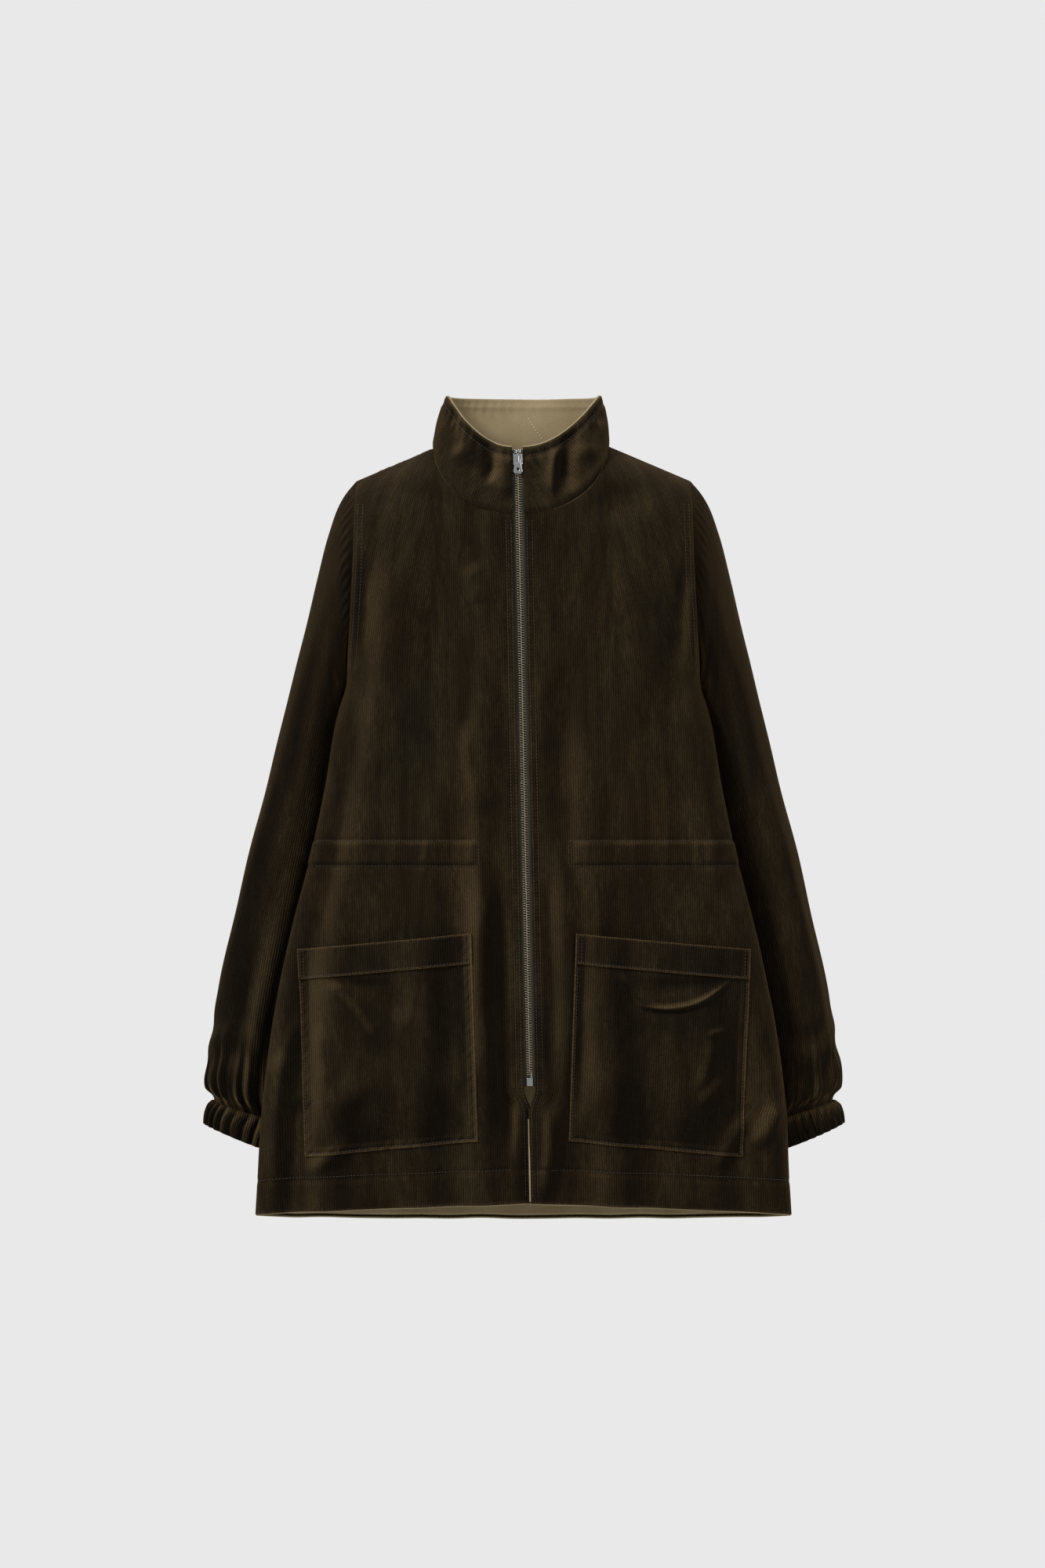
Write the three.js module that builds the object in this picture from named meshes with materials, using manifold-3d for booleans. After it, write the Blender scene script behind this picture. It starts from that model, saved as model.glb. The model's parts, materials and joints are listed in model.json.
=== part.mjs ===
// A hip-length needlecord jacket with a stand collar, a full-length metal zip, elasticated
// cuffs, a waist tunnel and two patch pockets, hanging as it does from a coat hanger.
//
// Millimetres. +Z up, -Y is the front, +X is the wearer's left. The origin is the middle of
// the neck, level with the top of the shoulders, where a hanger's neck stands.
// Every cloth part starts as a flat grid, a box or a turned ring, that is then laid on the
// jacket's surface at its own depth, so shell, tape and lining stay nested when a size changes.
import * as THREE from "three";
import Module from "manifold-3d";
import { mergeVertices } from "three/addons/utils/BufferGeometryUtils.js";

// ---------------------------------------------------------------- driving dimensions

const SHELL_THICK = 1.4; // needlecord
const LINING_THICK = 0.8; // cotton twill
const SEAM_GAP = 0.3; // between two parts that are sewn edge to edge
const SKIN_GAP = 0.35; // between two parts that lie on each other

const NECK_HALF = 88; // half the neck's width at the shoulder seams
const NECK_Z = -14;
const SHOULDER_HALF = 173;
const SHOULDER_Z = -50;
const FRONT_NECK_Z = -88;
const BACK_NECK_DROP = 9;
const SHOULDER_ROLL = 66; // height over which the cloth rolls from the shoulder to the front
const ARMPIT_Z = -262;
const SIDE_HEM_Z = -808;
const FRONT_HEM_RISE = 16; // the front hem is this much higher at the zip than at the sides
const BACK_HEM_DROP = 14; // and the back hem hangs this much lower in the middle
const FRONT_Y = -62; // the front edge hangs straight down in this plane
const BACK_FLAT = 1.0; // how square the back's section is: lower is squarer
const FRONT_FLAT = 0.6;

// [height, half-width] down the side of the body, from the shoulder over the armhole to the hem
const SIDE_X = [
  [SHOULDER_Z, SHOULDER_HALF],
  [-150, 176],
  [ARMPIT_Z, 181],
  [-300, 189],
  [-364, 202],
  [-440, 220],
  [-524, 241],
  [-604, 258],
  [-684, 268],
  [SIDE_HEM_Z, 276],
];
// [height, depth] of the front and back panels' outer edges: the armhole, then the side seam
const SIDE_SEAM_Y = [
  [ARMPIT_Z, 2],
  [-300, -12],
  [-345, -22],
  [-620, -24],
  [SIDE_HEM_Z, -20],
];
const FRONT_EDGE_Y = [[SHOULDER_Z, -38], [-150, -40], [-205, -34], [-240, -16], ...SIDE_SEAM_Y];
const BACK_EDGE_Y = [[SHOULDER_Z, 42], [-150, 46], [-205, 40], [-240, 22], ...SIDE_SEAM_Y];
const BACK_Y = [
  [NECK_Z, 56],
  [-150, 60],
  [-400, 62],
  [SIDE_HEM_Z, 74],
];

const COLLAR_RIM_HALF = NECK_HALF - 8;
const COLLAR_RIM_Z = [-20, 37]; // at the zip, and at the sides and back
const COLLAR_RIM_MID_Y = -6;
const COLLAR_BACK_DEPTH = 44;
const COLLAR_STIFF_THICK = 0.8; // interlining

// The sleeve's rings: [outer x, outer z, inner x, inner z, half depth, middle y], from armhole to cuff
const SLEEVE_RINGS = [
  [SHOULDER_HALF, SHOULDER_Z, 181, ARMPIT_Z, 42, 2],
  [191, -74, 183, -266, 43, 4],
  [202, -104, 185, -270, 44, 8],
  [213, -148, 187, -275, 46, 12],
  [225, -196, 188, -281, 47, 17],
  [237, -240, 189, -288, 48, 22],
  [247, -280, 189, -296, 48, 26],
  [266, -356, 195, -372, 48, 31],
  [285, -428, 210, -446, 46, 32],
  [301, -500, 228, -518, 44, 32],
  [316, -572, 244, -590, 42, 32],
  [327, -644, 254, -664, 38, 30],
  [330, -678, 256, -700, 32, 29],
  [326, -692, 252, -715, 24, 28],
];
const SLEEVE_CUT = 6; // the ring at which the hanging part of the sleeve swings
const CUFF_RINGS = [
  [327, -693.4, 252, -716.6, 24, 28],
  [334, -718, 262, -748, 24, 28],
];
const ELASTIC_THICK = 1.0;
const ELASTIC_INSET = 4; // from the cuff's ends to the elastic's edges

const POCKET_WIDTH = 178;
const POCKET_HEIGHT = 213;
const POCKET_MIDDLE = [139, -631];
const POCKET_TILT = THREE.MathUtils.degToRad(5.5);
const POCKET_FULL = 10.5; // how far the pocket's cloth stands off the body
const POCKET_EDGE = 9; // width of its turned and sewn edge
const BAND_HEIGHT = 31;
const BAND_THICK = 1.2;

const TUNNEL_Z = [-424, -446]; // the waist tunnel's two rows of stitching
const TUNNEL_START = 45; // from the zip's side to where the tunnel begins
const TAPE_WIDTH = 16;
const TAPE_THICK = 0.8;
const CASING_THICK = 0.5;

const ZIP_TOP = [-6, -26]; // x and z of the chain's two ends
const ZIP_BOTTOM = [6.5, -672];
const ZIP_HALF_GAP = 5.6; // from the chain's middle to the cloth's edge
const VENT_HALF_GAP = 1.2; // the same at the hem, below the zip
const ZIP_TAPE = { inner: 3.3, outer: 13, thick: 0.6 };
const CHAIN = { inner: 0.7, outer: 3.0, thick: 2.4 };
const SLIDER = {
  length: 11,
  width: 9.2,
  plate: 1.1,
  lip: 0.9,
  web: 0.8,
  clear: 0.3,
  top: 1.2,
};
const BRIDGE = { width: 2.0, length: 6.6, tunnel: 1.9, bar: 0.9, post: 1.2 };
const PULL = { thick: 1.1, arm: 1.1, clear: 0.3, top: 6.4, bottom: 9.4, length: 14.5, hole: 3.4 };
const STOP = { width: 3.2, thick: 2.2, height: 3.4 };
const BOX = { width: 6, thick: 3.6, height: 8, wall: 0.9 };
const PIN = { inner: 0.9, outer: 2.3, thick: 1.4, above: 6 };

const FACING_WIDTH = 34; // strip that covers the zip tape inside
const HEM_FACING = 34; // height of the turned-up hem inside
const STRIP_THICK = 0.8;

const COLOURS = {
  cord: 0x2b2218,
  twill: 0x8a7c5c,
  tape: 0x5c5a5a,
  brass: 0xb9ad84,
  steel: 0xb8bcc0,
  white: 0xd8d5cc,
};

// ---------------------------------------------------------------- helpers

const wasm = await Module();
wasm.setup();

/** The smooth value at a place, through [place, value] stations listed from high to low. */
function through(stations, place) {
  const last = stations.length - 1;
  if (place >= stations[0][0]) return stations[0][1];
  if (place <= stations[last][0]) return stations[last][1];
  let i = 0;
  while (place < stations[i + 1][0]) i += 1;
  const slope = (k) => {
    const a = stations[Math.max(0, k - 1)];
    const b = stations[Math.min(last, k + 1)];
    return (b[1] - a[1]) / (b[0] - a[0]);
  };
  const [from, to] = [stations[i], stations[i + 1]];
  const span = to[0] - from[0];
  const t = (place - from[0]) / span;
  return hermite(from[1], to[1], slope(i) * span, slope(i + 1) * span, t);
}

function hermite(a, b, slopeA, slopeB, t) {
  const [t2, t3] = [t * t, t * t * t];
  return (
    a * (2 * t3 - 3 * t2 + 1) + slopeA * (t3 - 2 * t2 + t) + b * (3 * t2 - 2 * t3) + slopeB * (t3 - t2)
  );
}

const clamp = (x, low, high) => Math.min(high, Math.max(low, x));

/** A geometry with its faces turned outwards, whichever way it was laid. */
function facingOut(geometry) {
  const p = geometry.getAttribute("position");
  const index = geometry.index.array;
  const corner = (i) => new THREE.Vector3().fromBufferAttribute(p, index[i]);
  let volume = 0;
  for (let i = 0; i < index.length; i += 3) {
    volume += corner(i).dot(corner(i + 1).cross(corner(i + 2)));
  }
  if (volume < 0) {
    for (let i = 0; i < index.length; i += 3) {
      [index[i + 1], index[i + 2]] = [index[i + 2], index[i + 1]];
    }
  }
  geometry.computeVertexNormals();
  return geometry;
}

/** Cut a quad's two triangles along its other diagonal, so that both faces of a wall match. */
function turnDiagonal(geometry, start, corners) {
  const index = geometry.index.array;
  const [a, b, d, c] = corners.map((k) => index[start + k]);
  [a, b, c, a, c, d].forEach((vertex, k) => {
    index[start + k] = vertex;
  });
}

/** A flat slab of columns by rows, with each corner (column, row, face 0 or 1) laid at place(). */
function slab(columns, rows, place) {
  const geometry = new THREE.BoxGeometry(1, 1, 1, columns, 1, rows);
  const p = geometry.getAttribute("position");
  for (let i = 0; i < p.count; i += 1) {
    const column = Math.round((p.getX(i) + 0.5) * columns);
    const row = Math.round((p.getZ(i) + 0.5) * rows);
    p.setXYZ(i, ...place(column, row, Math.round(p.getY(i) + 0.5)).toArray());
  }
  const under = geometry.groups[3];
  for (let i = under.start; i < under.start + under.count; i += 6) turnDiagonal(geometry, i, [0, 1, 2, 4]);
  return facingOut(geometry);
}

/** A closed ring of columns round and rows along, its wall turned from a square profile. */
function ring(columns, rows, place) {
  const profile = [];
  for (let row = 0; row <= rows; row += 1) profile.push(new THREE.Vector2(2, row));
  for (let row = rows; row >= 0; row -= 1) profile.push(new THREE.Vector2(1, row));
  profile.push(profile[0].clone());
  const geometry = new THREE.LatheGeometry(profile, columns);
  const p = geometry.getAttribute("position");
  for (let i = 0; i < p.count; i += 1) {
    const turn = Math.atan2(p.getX(i), p.getZ(i)) / (2 * Math.PI);
    const column = Math.round((turn + 1) * columns) % columns;
    const face = Math.round(Math.hypot(p.getX(i), p.getZ(i))) - 1;
    p.setXYZ(i, ...place(column, Math.round(p.getY(i)), face).toArray());
  }
  const walls = profile.length - 1;
  for (let i = 0; i < columns * walls; i += 1) {
    if (i % walls > rows) turnDiagonal(geometry, i * 6, [0, 1, 2, 3]);
  }
  return facingOut(geometry);
}

/** The unit normal of surface(a, b), on the side away from a point within. */
function normalOf(surface, a, b, stepA, stepB, within) {
  const along = surface(a + stepA, b).sub(surface(a - stepA, b));
  const down = surface(a, b + stepB).sub(surface(a, b - stepB));
  const normal = along.cross(down).normalize();
  const away = surface(a, b).sub(within);
  return normal.dot(away) < 0 ? normal.negate() : normal;
}

function solid(geometry) {
  const bare = new THREE.BufferGeometry();
  bare.setAttribute("position", geometry.getAttribute("position"));
  bare.setIndex(geometry.index);
  const merged = mergeVertices(bare, 1e-4);
  const mesh = new wasm.Mesh({
    numProp: 3,
    vertProperties: merged.getAttribute("position").array,
    triVerts: new Uint32Array(merged.index.array),
  });
  return new wasm.Manifold(mesh);
}

function geometryOf(made) {
  const mesh = made.getMesh();
  const geometry = new THREE.BufferGeometry();
  geometry.setAttribute("position", new THREE.BufferAttribute(mesh.vertProperties, 3));
  geometry.setIndex(new THREE.BufferAttribute(mesh.triVerts, 1));
  geometry.computeVertexNormals();
  return geometry;
}

const block = (x, y, z, cx, cy, cz) => new THREE.BoxGeometry(x, y, z).translate(cx, cy, cz);
const joined = (...parts) => geometryOf(parts.map(solid).reduce((a, b) => a.add(b)));

const jacket = new THREE.Group();

function add(name, geometry, colour, metalness = 0, parent = jacket) {
  const material = new THREE.MeshStandardMaterial({
    color: colour,
    roughness: metalness ? 0.35 : 0.9,
    metalness,
  });
  const mesh = new THREE.Mesh(geometry, material);
  mesh.name = name;
  parent.add(mesh);
  return mesh;
}

// ---------------------------------------------------------------- the body's surface

const SIDES = { right: -1, left: 1 };
const NECK_X = [0, 0.16, 0.32, 0.59, 0.8, 0.92, 0.983, 1].map((share) => share * NECK_HALF);
const beyondNeck = (share) => THREE.MathUtils.lerp(NECK_HALF, SHOULDER_HALF, share);
const PANEL_X = [...NECK_X, ...[0.2, 0.5, 0.76, 1].map(beyondNeck)]; // columns, at the shoulders
const LEVELS = [
  SHOULDER_Z, -52.5, -60, -80, -112, -150, -205, ARMPIT_Z, -300, -345, ...TUNNEL_Z, -520, -604, -692,
  SIDE_HEM_Z + HEM_FACING, SIDE_HEM_Z,
];

const zipX = (z) =>
  ZIP_TOP[0] + ((ZIP_BOTTOM[0] - ZIP_TOP[0]) * (ZIP_TOP[1] - z)) / (ZIP_TOP[1] - ZIP_BOTTOM[1]);

/** Half the gap between the two fronts: the zip's, closing to a slit at the hem. */
function halfGap(z) {
  const hem = SIDE_HEM_Z + FRONT_HEM_RISE;
  const below = clamp((ZIP_BOTTOM[1] - z) / (ZIP_BOTTOM[1] - hem), 0, 1);
  return THREE.MathUtils.lerp(ZIP_HALF_GAP, VENT_HALF_GAP, below);
}

const ridgeZ = (x) =>
  NECK_Z - (Math.max(0, Math.abs(x) - NECK_HALF) * (NECK_Z - SHOULDER_Z)) / (SHOULDER_HALF - NECK_HALF);

/** How much of its full depth the cloth has reached, at a height below the shoulder's ridge. */
function rolled(x, z) {
  const t = clamp((ridgeZ(x) - z) / SHOULDER_ROLL, 0, 1);
  return Math.sqrt(1 - (1 - t) * (1 - t));
}

const FRONT = {
  facing: -1,
  flat: FRONT_FLAT,
  edgeY: FRONT_EDGE_Y,
  middleY: () => FRONT_Y,
  middleX: (side, z) => zipX(z) + side * halfGap(z),
  neckZ: (share) => FRONT_NECK_Z + (NECK_Z - FRONT_NECK_Z) * (1 - Math.sqrt(1 - share * share)),
  hemZ: (share) => SIDE_HEM_Z + FRONT_HEM_RISE * (1 - share),
};
const BACK = {
  facing: 1,
  flat: BACK_FLAT,
  edgeY: BACK_EDGE_Y,
  middleY: (z) => through(BACK_Y, z),
  middleX: () => 0,
  neckZ: (share) => NECK_Z - BACK_NECK_DROP * Math.sqrt(1 - share * share),
  hemZ: (share) => SIDE_HEM_Z - BACK_HEM_DROP * Math.cos((share * Math.PI) / 2),
};

const shareOf = (x) => (Math.asin(clamp(x / SHOULDER_HALF, -1, 1)) * 2) / Math.PI;

/** A point of the jacket's face. Share runs from 0 at the panel's middle to 1 at its side. */
function bodyPoint(panel, side, share, z) {
  const sweep = Math.sin((share * Math.PI) / 2);
  const fall = Math.max(0, Math.cos((share * Math.PI) / 2)) ** panel.flat;
  const middle = panel.middleX(side, z);
  const x = middle + (side * through(SIDE_X, z) - middle) * sweep;
  const edge = through(panel.edgeY, z);
  const y = edge + (panel.middleY(z) - edge) * fall;
  return new THREE.Vector3(x, y * rolled(x, z) + (panel.facing * SEAM_GAP) / 2, z);
}

/** The height of a level at a share of the panel: it follows the neck and shoulder at the top. */
function levelZ(panel, share, level) {
  const x = SHOULDER_HALF * Math.sin((Math.abs(share) * Math.PI) / 2);
  const top = x < NECK_HALF ? panel.neckZ(x / NECK_HALF) : ridgeZ(x);
  const high = clamp((level - ARMPIT_Z) / (SHOULDER_Z - ARMPIT_Z), 0, 1);
  const low = clamp((TUNNEL_Z[1] - level) / (TUNNEL_Z[1] - SIDE_HEM_Z), 0, 1);
  return level + (top - SHOULDER_Z) * high + (panel.hemZ(Math.abs(share)) - SIDE_HEM_Z) * low;
}

/** The jacket's face at a share and height, sunk by a depth; a negative depth stands proud. */
function sunk(panel, side, share, z, depth) {
  const surface = (a, b) => bodyPoint(panel, side, a, b);
  const point = surface(share, z);
  const below = Math.min(z, ridgeZ(point.x) - 0.8);
  const step = share > 0.99 ? -0.004 : 0.004;
  const within = new THREE.Vector3(0, 0, z - 60);
  const normal = normalOf(surface, share - Math.abs(step), below, step, 0.3, within);
  if (share > 0.999 || ridgeZ(point.x) - z < 0.4) normal.setY(0).normalize();
  return point.addScaledVector(normal, -depth);
}

/** The share at which a panel reaches x, at a height. */
function shareAt(panel, side, x, z) {
  const middle = panel.middleX(side, z);
  const reach = (x - middle) / (side * through(SIDE_X, z) - middle);
  return (Math.asin(clamp(reach, 0, 1)) * 2) / Math.PI;
}

const onFace = (panel, side, x, z, depth) => sunk(panel, side, shareAt(panel, side, x, z), z, depth);

const LINING_DEPTH = SHELL_THICK + SKIN_GAP;
const STRIP_DEPTH = LINING_DEPTH + LINING_THICK + SKIN_GAP;

/** One front, from the zip to the side. Start is how far from its own edge it begins. */
function front(side, depth, thick, start, hemLift) {
  return slab(PANEL_X.length - 1, LEVELS.length - 1, (column, row, face) => {
    const share = shareOf(PANEL_X[column]);
    const lift = row === LEVELS.length - 1 ? hemLift : 0;
    const z = levelZ(FRONT, share, LEVELS[row]) + lift;
    const from = shareAt(FRONT, side, FRONT.middleX(side, z) + side * start, z);
    return sunk(FRONT, side, Math.max(share, from), z, depth + (face ? 0 : thick));
  });
}

function back(depth, thick, hemLift) {
  const half = PANEL_X.length - 1;
  return slab(2 * half, LEVELS.length - 1, (column, row, face) => {
    const side = column < half ? -1 : 1;
    const share = shareOf(PANEL_X[Math.abs(column - half)]);
    const lift = row === LEVELS.length - 1 ? hemLift : 0;
    const z = levelZ(BACK, share, LEVELS[row]) + lift;
    return sunk(BACK, side, share, z, depth + (face ? 0 : thick));
  });
}

// ---------------------------------------------------------------- sleeves and cuffs

/** A point of a sleeve or cuff. Turn 0 is the outer fold, a quarter is the front. */
function ringPoint(rings, side, turn, row) {
  const i = clamp(Math.floor(row), 0, rings.length - 2);
  const ring = rings[i].map((value, k) => THREE.MathUtils.lerp(value, rings[i + 1][k], row - i));
  const [cos, sin] = [Math.cos(turn * 2 * Math.PI), Math.sin(turn * 2 * Math.PI)];
  const x = (ring[0] + ring[2]) / 2 + ((ring[0] - ring[2]) / 2) * cos;
  const z = (ring[1] + ring[3]) / 2 + ((ring[1] - ring[3]) / 2) * cos;
  const point = new THREE.Vector3(side * x, ring[5] - ring[4] * sin, z);
  if (rings === SLEEVE_RINGS && row < 1) {
    const high = (SHOULDER_Z + ARMPIT_Z) / 2 + ((SHOULDER_Z - ARMPIT_Z) / 2) * cos;
    const seam = bodyPoint(sin > 0 ? FRONT : BACK, side, 1, high);
    seam.x += side * 2.5 * SEAM_GAP;
    seam.y *= Math.abs(sin) < 1e-6 ? 0 : 1;
    point.lerp(seam, 1 - row);
  }
  return point;
}

function ringMiddle(rings, side, row) {
  const outer = ringPoint(rings, side, 0, row);
  return outer.lerp(ringPoint(rings, side, 0.5, row), 0.5);
}

const SLEEVE_COLUMNS = 16;

/** A tube of cloth between two rows of rings, with its face sunk by a depth. */
function tube(rings, side, from, to, depth, thick, rows = to - from) {
  return ring(SLEEVE_COLUMNS, rows, (column, step, face) => {
    const row = THREE.MathUtils.lerp(from, to, step / rows);
    const turn = column / SLEEVE_COLUMNS;
    const surface = (a, b) => ringPoint(rings, side, a, b);
    const inside = clamp(row, 0.02, rings.length - 1.02);
    const normal = normalOf(surface, turn, inside, 0.01, 0.02, ringMiddle(rings, side, inside));
    if (rings === SLEEVE_RINGS && row === 0) normal.setX(0).normalize();
    return surface(turn, row).addScaledVector(normal, -(depth + (face ? 0 : thick)));
  });
}

function addSleeve(name, side) {
  const last = SLEEVE_RINGS.length - 1;
  const gap = SEAM_GAP / 80; // rows of rings
  add(`shell_sleeve_upper_${name}`, tube(SLEEVE_RINGS, side, 0, SLEEVE_CUT, 0, SHELL_THICK), COLOURS.cord);
  add(
    `lining_sleeve_upper_${name}`,
    tube(SLEEVE_RINGS, side, 0, SLEEVE_CUT, LINING_DEPTH, LINING_THICK),
    COLOURS.twill,
  );
  const [from, rows] = [SLEEVE_CUT + gap, last - SLEEVE_CUT];
  add(`shell_sleeve_lower_${name}`, tube(SLEEVE_RINGS, side, from, last, 0, SHELL_THICK, rows), COLOURS.cord);
  add(
    `lining_sleeve_lower_${name}`,
    tube(SLEEVE_RINGS, side, from, last, LINING_DEPTH, LINING_THICK, rows),
    COLOURS.twill,
  );
  const inset = ELASTIC_INSET / 28;
  add(`cuff_${name}`, tube(CUFF_RINGS, side, 0, 1, 0, SHELL_THICK, 2), COLOURS.cord);
  add(
    `cuff_elastic_${name}`,
    tube(CUFF_RINGS, side, inset, 1 - inset, LINING_DEPTH, ELASTIC_THICK, 2),
    COLOURS.white,
  );
  add(
    `cuff_facing_${name}`,
    tube(CUFF_RINGS, side, 0, 1, LINING_DEPTH + ELASTIC_THICK + SKIN_GAP, LINING_THICK, 2),
    COLOURS.twill,
  );
}

// ---------------------------------------------------------------- collar

/** The rim's depth from its middle to the front: flat beside the zip, then rounding off. */
const frontSweep = (angle) => Math.min(1, Math.abs(Math.cos(angle)) ** FRONT_FLAT / 0.992);

/** The collar's face. Angle 0 is the middle of the back, plus or minus pi is the zip. */
function collarPoint(angle, height) {
  const side = angle < 0 ? -1 : 1;
  const atFront = Math.abs(angle) > Math.PI / 2;
  const panel = atFront ? FRONT : BACK;
  const across = Math.abs(Math.sin(angle));
  const seam = bodyPoint(panel, side, shareOf(NECK_HALF * across), panel.neckZ(Math.min(1, across)));
  seam.z += SEAM_GAP;
  seam.x -= side * across * 2 * SEAM_GAP;
  const rimZ = atFront ? THREE.MathUtils.lerp(...COLLAR_RIM_Z, across * across) : COLLAR_RIM_Z[1];
  const depth = atFront ? COLLAR_RIM_MID_Y - FRONT_Y : COLLAR_BACK_DEPTH;
  const middle = atFront ? FRONT.middleX(side, rimZ) : 0;
  const rim = new THREE.Vector3(
    middle + (side * COLLAR_RIM_HALF - middle) * across,
    COLLAR_RIM_MID_Y + depth * (atFront ? -frontSweep(angle) : Math.cos(angle)),
    rimZ,
  );
  const point = seam.lerp(rim, height);
  if (atFront && across < 1e-6) point.x = FRONT.middleX(side, point.z);
  return point.add(new THREE.Vector3(side * across * 14 * height * (1 - height), 0, 0));
}

function collar(depth, thick, start, lower) {
  const turns = NECK_X.map((x) => Math.asin(x / NECK_HALF));
  const angles = [
    ...turns.map((turn) => turn - Math.PI),
    ...turns.slice(0, -1).reverse().map((turn) => -turn),
    ...turns.slice(1).map((turn) => turn),
    ...turns.slice(0, -1).reverse().map((turn) => Math.PI - turn),
  ];
  const edge = Math.asin(start / COLLAR_RIM_HALF);
  return slab(angles.length - 1, 4, (column, row, face) => {
    const most = Math.PI - edge - 1e-9;
    const angle = clamp(angles[column], -most, most);
    const height = 1 - (row / 4) * (1 - (row === 4 ? lower : 0));
    const within = new THREE.Vector3(0, -10, collarPoint(angle, height).z);
    const inner = clamp(angle, 0.02 - Math.PI, Math.PI - 0.02);
    const normal = normalOf(collarPoint, inner, clamp(height, 0.02, 0.98), 0.01, 0.02, within);
    if (Math.abs(angle) > Math.PI - 0.2) normal.set(0, -1, 0);
    return collarPoint(angle, height).addScaledVector(normal, -(depth + (face ? 0 : thick)));
  });
}

// ---------------------------------------------------------------- pockets

/** A place on a front's face from the pocket's own middle, across (towards the side) and up. */
function pocketPlace(side, across, up, depth) {
  const [cos, sin] = [Math.cos(POCKET_TILT), Math.sin(POCKET_TILT)];
  const x = side * (POCKET_MIDDLE[0] + across * cos + up * sin * 0.35);
  const z = POCKET_MIDDLE[1] - across * sin + up * cos;
  return onFace(FRONT, side, x, z, depth);
}

/** How far the pocket's cloth stands off the front: sewn down round three sides, open on top. */
function pocketStand(across, up) {
  const side = clamp((POCKET_WIDTH / 2 - POCKET_EDGE - Math.abs(across)) / 40, 0, 1);
  const low = clamp((up + POCKET_HEIGHT / 2 - POCKET_EDGE) / 60, 0, 1);
  const smooth = (t) => t * t * (3 - 2 * t);
  return SKIN_GAP + POCKET_FULL * Math.sqrt(smooth(side)) * Math.sqrt(smooth(low));
}

const HALF_ACROSS = [0, 0.05, 0.11, 0.19, 0.34, 0.5].map((share) => share * POCKET_WIDTH);
const POCKET_ACROSS = [...HALF_ACROSS, ...HALF_ACROSS.slice(0, -1).reverse().map((x) => POCKET_WIDTH - x)];
const BAG_UP = [0, 0.05, 0.13, 0.25, 0.44, 0.66, 0.88, 1];
const POCKET_UP = [...BAG_UP.map((share) => share * (POCKET_HEIGHT - BAND_HEIGHT)), POCKET_HEIGHT];

function pocketBag(side) {
  const last = [POCKET_ACROSS.length - 1, POCKET_UP.length - 1];
  return slab(...last, (column, row, face) => {
    const across = POCKET_ACROSS[column] - POCKET_WIDTH / 2;
    const up = POCKET_UP[row] - POCKET_HEIGHT / 2;
    return pocketPlace(side, across, up, -pocketStand(across, up) - (face ? SHELL_THICK : 0));
  });
}

function pocketBand(side) {
  const columns = POCKET_ACROSS.length - 1;
  return slab(columns, 1, (column, row, face) => {
    const across = POCKET_ACROSS[column] - POCKET_WIDTH / 2;
    const up = POCKET_HEIGHT / 2 - row * BAND_HEIGHT;
    const stand = pocketStand(across, up) + SHELL_THICK + SKIN_GAP + 0.15;
    return pocketPlace(side, across, up, -stand - (face ? BAND_THICK : 0));
  });
}

// ---------------------------------------------------------------- strips inside the body

/** A strip inside a front between two heights, over the panel's columns past a start. */
function strip(side, from, heights, depth, thick) {
  const z0 = heights[0](FRONT, 0);
  const start = shareAt(FRONT, side, FRONT.middleX(side, z0) + side * from, z0);
  const shares = [start, ...PANEL_X.map(shareOf).filter((share) => share > start + 0.02)];
  return slab(shares.length - 1, heights.length - 1, (column, row, face) => {
    const z = heights[row](FRONT, shares[column]);
    return sunk(FRONT, side, shares[column], z, depth + (face ? 0 : thick));
  });
}

function levelBack(heights, depth, thick) {
  const half = PANEL_X.length - 1;
  return slab(2 * half, heights.length - 1, (column, row, face) => {
    const share = shareOf(PANEL_X[Math.abs(column - half)]);
    const z = heights[row](BACK, share);
    return sunk(BACK, column < half ? -1 : 1, share, z, depth + (face ? 0 : thick));
  });
}

const atHem = (up) => (panel, share) => levelZ(panel, share, SIDE_HEM_Z) + up;
const HEM_HEIGHTS = [atHem(HEM_FACING), atHem(3)];
const tunnel = (extra) => [
  (panel, share) => levelZ(panel, share, TUNNEL_Z[0]) + extra,
  (panel, share) => levelZ(panel, share, TUNNEL_Z[1]) - extra,
];

/** The strip that covers the zip's tape inside a front, from the neck to the hem. */
function frontFacing(side) {
  return slab(2, LEVELS.length - 1, (column, row, face) => {
    const z = levelZ(FRONT, 0, LEVELS[row]) + (row === LEVELS.length - 1 ? 3 : 0);
    const x = FRONT.middleX(side, z) + side * (column * 0.5 * FACING_WIDTH);
    return onFace(FRONT, side, x, z, STRIP_DEPTH + (face ? 0 : STRIP_THICK));
  });
}

// ---------------------------------------------------------------- zip

const CHAIN_LENGTH = Math.hypot(ZIP_BOTTOM[0] - ZIP_TOP[0], ZIP_BOTTOM[1] - ZIP_TOP[1]);
const CHAIN_Y = FRONT_Y + SHELL_THICK + SKIN_GAP + ZIP_TAPE.thick / 2;

/** A zip part drawn with the chain's top at the origin and running down -Z, put in its place. */
function onChain(geometry) {
  const lean = -Math.atan2(ZIP_BOTTOM[0] - ZIP_TOP[0], ZIP_TOP[1] - ZIP_BOTTOM[1]);
  return geometry.rotateY(lean).translate(ZIP_TOP[0], CHAIN_Y, ZIP_TOP[1]);
}

/** A block given by its limits: x from, to, y from, to, z from, to. */
function span(x0, x1, y0, y1, z0, z1) {
  return block(x1 - x0, y1 - y0, z1 - z0, (x0 + x1) / 2, (y0 + y1) / 2, (z0 + z1) / 2);
}

/** The same, on one side of the chain: x is measured outwards from it. */
function sideSpan(side, inner, outer, thick, z0, z1) {
  const [a, b] = [side * inner, side * outer];
  return span(Math.min(a, b), Math.max(a, b), -thick / 2, thick / 2, z0, z1);
}

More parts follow.
